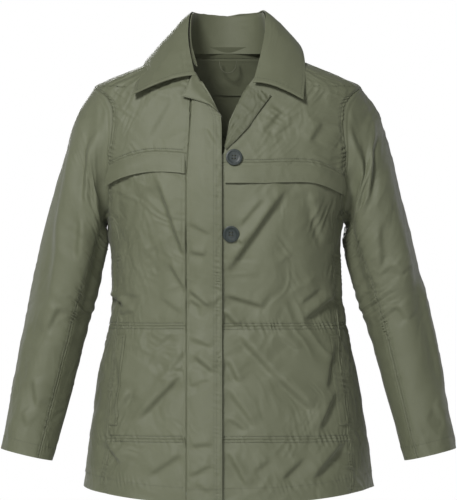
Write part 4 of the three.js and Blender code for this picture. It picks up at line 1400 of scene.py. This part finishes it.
# ---------------------------------------------------------------- stage
CAMERA_BACK, CAMERA_LENS, SENSOR = 7.0, 315.0, 36.0
FRAME_CENTRE = (0.0008, -0.303)      # the middle of the view, x and z in metres
FLOOR_Z = -0.98
SOFT_LIGHT = 0.12


def make_stage():
    deselect()
    bpy.ops.mesh.primitive_plane_add(size=3, location=(0, 0, FLOOR_Z))
    floor = bpy.context.object
    floor.name = "floor"
    floor.data.materials.append(plain_finish("floor_paper", (0.90, 0.90, 0.89)))
    world = bpy.data.worlds.new("studio")
    bpy.context.scene.world = world
    world.use_nodes = True
    tree = world.node_tree
    soft = tree.nodes["Background"]
    white = tree.nodes.new("ShaderNodeBackground")
    path, pick = tree.nodes.new("ShaderNodeLightPath"), tree.nodes.new("ShaderNodeMixShader")
    soft.inputs["Color"].default_value = white.inputs["Color"].default_value = (1, 1, 1, 1)
    soft.inputs["Strength"].default_value, white.inputs["Strength"].default_value = SOFT_LIGHT, 1.0
    tree.links.new(path.outputs["Is Camera Ray"], pick.inputs[0])
    tree.links.new(soft.outputs[0], pick.inputs[1])
    tree.links.new(white.outputs[0], pick.inputs[2])
    tree.links.new(pick.outputs[0], tree.nodes["World Output"].inputs["Surface"])
    bpy.context.scene.view_settings.view_transform = "Standard"

    def lamp(name, place, aim, size, power):
        light = bpy.data.lights.new(name, "AREA")
        light.shape, light.size, light.energy = "DISK", size, power
        holder = bpy.data.objects.new(name, light)
        holder.location = place
        direction = np.array(aim) - np.array(place)
        holder.rotation_mode = "QUATERNION"
        holder.rotation_quaternion = Vector(direction).to_track_quat("-Z", "Y")
        holder.visible_camera = False
        bpy.context.scene.collection.objects.link(holder)

    middle = (0, 0, -0.35)
    lamp("key", (-1.05, -2.5, 1.5), middle, 0.8, 84)
    lamp("fill", (0.3, -3.3, 0.0), middle, 1.8, 19)
    lamp("behind", (-0.5, 3.3, 0.8), middle, 1.8, 74)
    lamp("beside_R", (-2.9, 2.2, 0.2), middle, 1.4, 16)
    lamp("beside_L", (2.9, 2.2, 0.2), middle, 1.4, 20)
    camera = bpy.data.cameras.new("camera")
    camera.lens, camera.sensor_width = CAMERA_LENS, SENSOR
    holder = bpy.data.objects.new("camera", camera)
    holder.location = (FRAME_CENTRE[0], -CAMERA_BACK, FRAME_CENTRE[1])
    holder.rotation_euler = (math.pi / 2, 0, 0)
    bpy.context.scene.collection.objects.link(holder)
    bpy.context.scene.camera = holder


# ---------------------------------------------------------------- the whole jacket
make_stage()
make_back()
for which in (RIGHT, LEFT):
    make_side(which)
    make_front(which)
    make_flap(which)
    make_pocket(which)
make_fly()
lapel_rows = make_lapel(RIGHT) + make_lapel(LEFT)
collar_rows = make_collar()
sleeve_rows = {which: make_sleeve(which) for which in (RIGHT, LEFT)}
make_stitches(lapel_rows, collar_rows, sleeve_rows)
make_buttons()
make_hanger_loop()
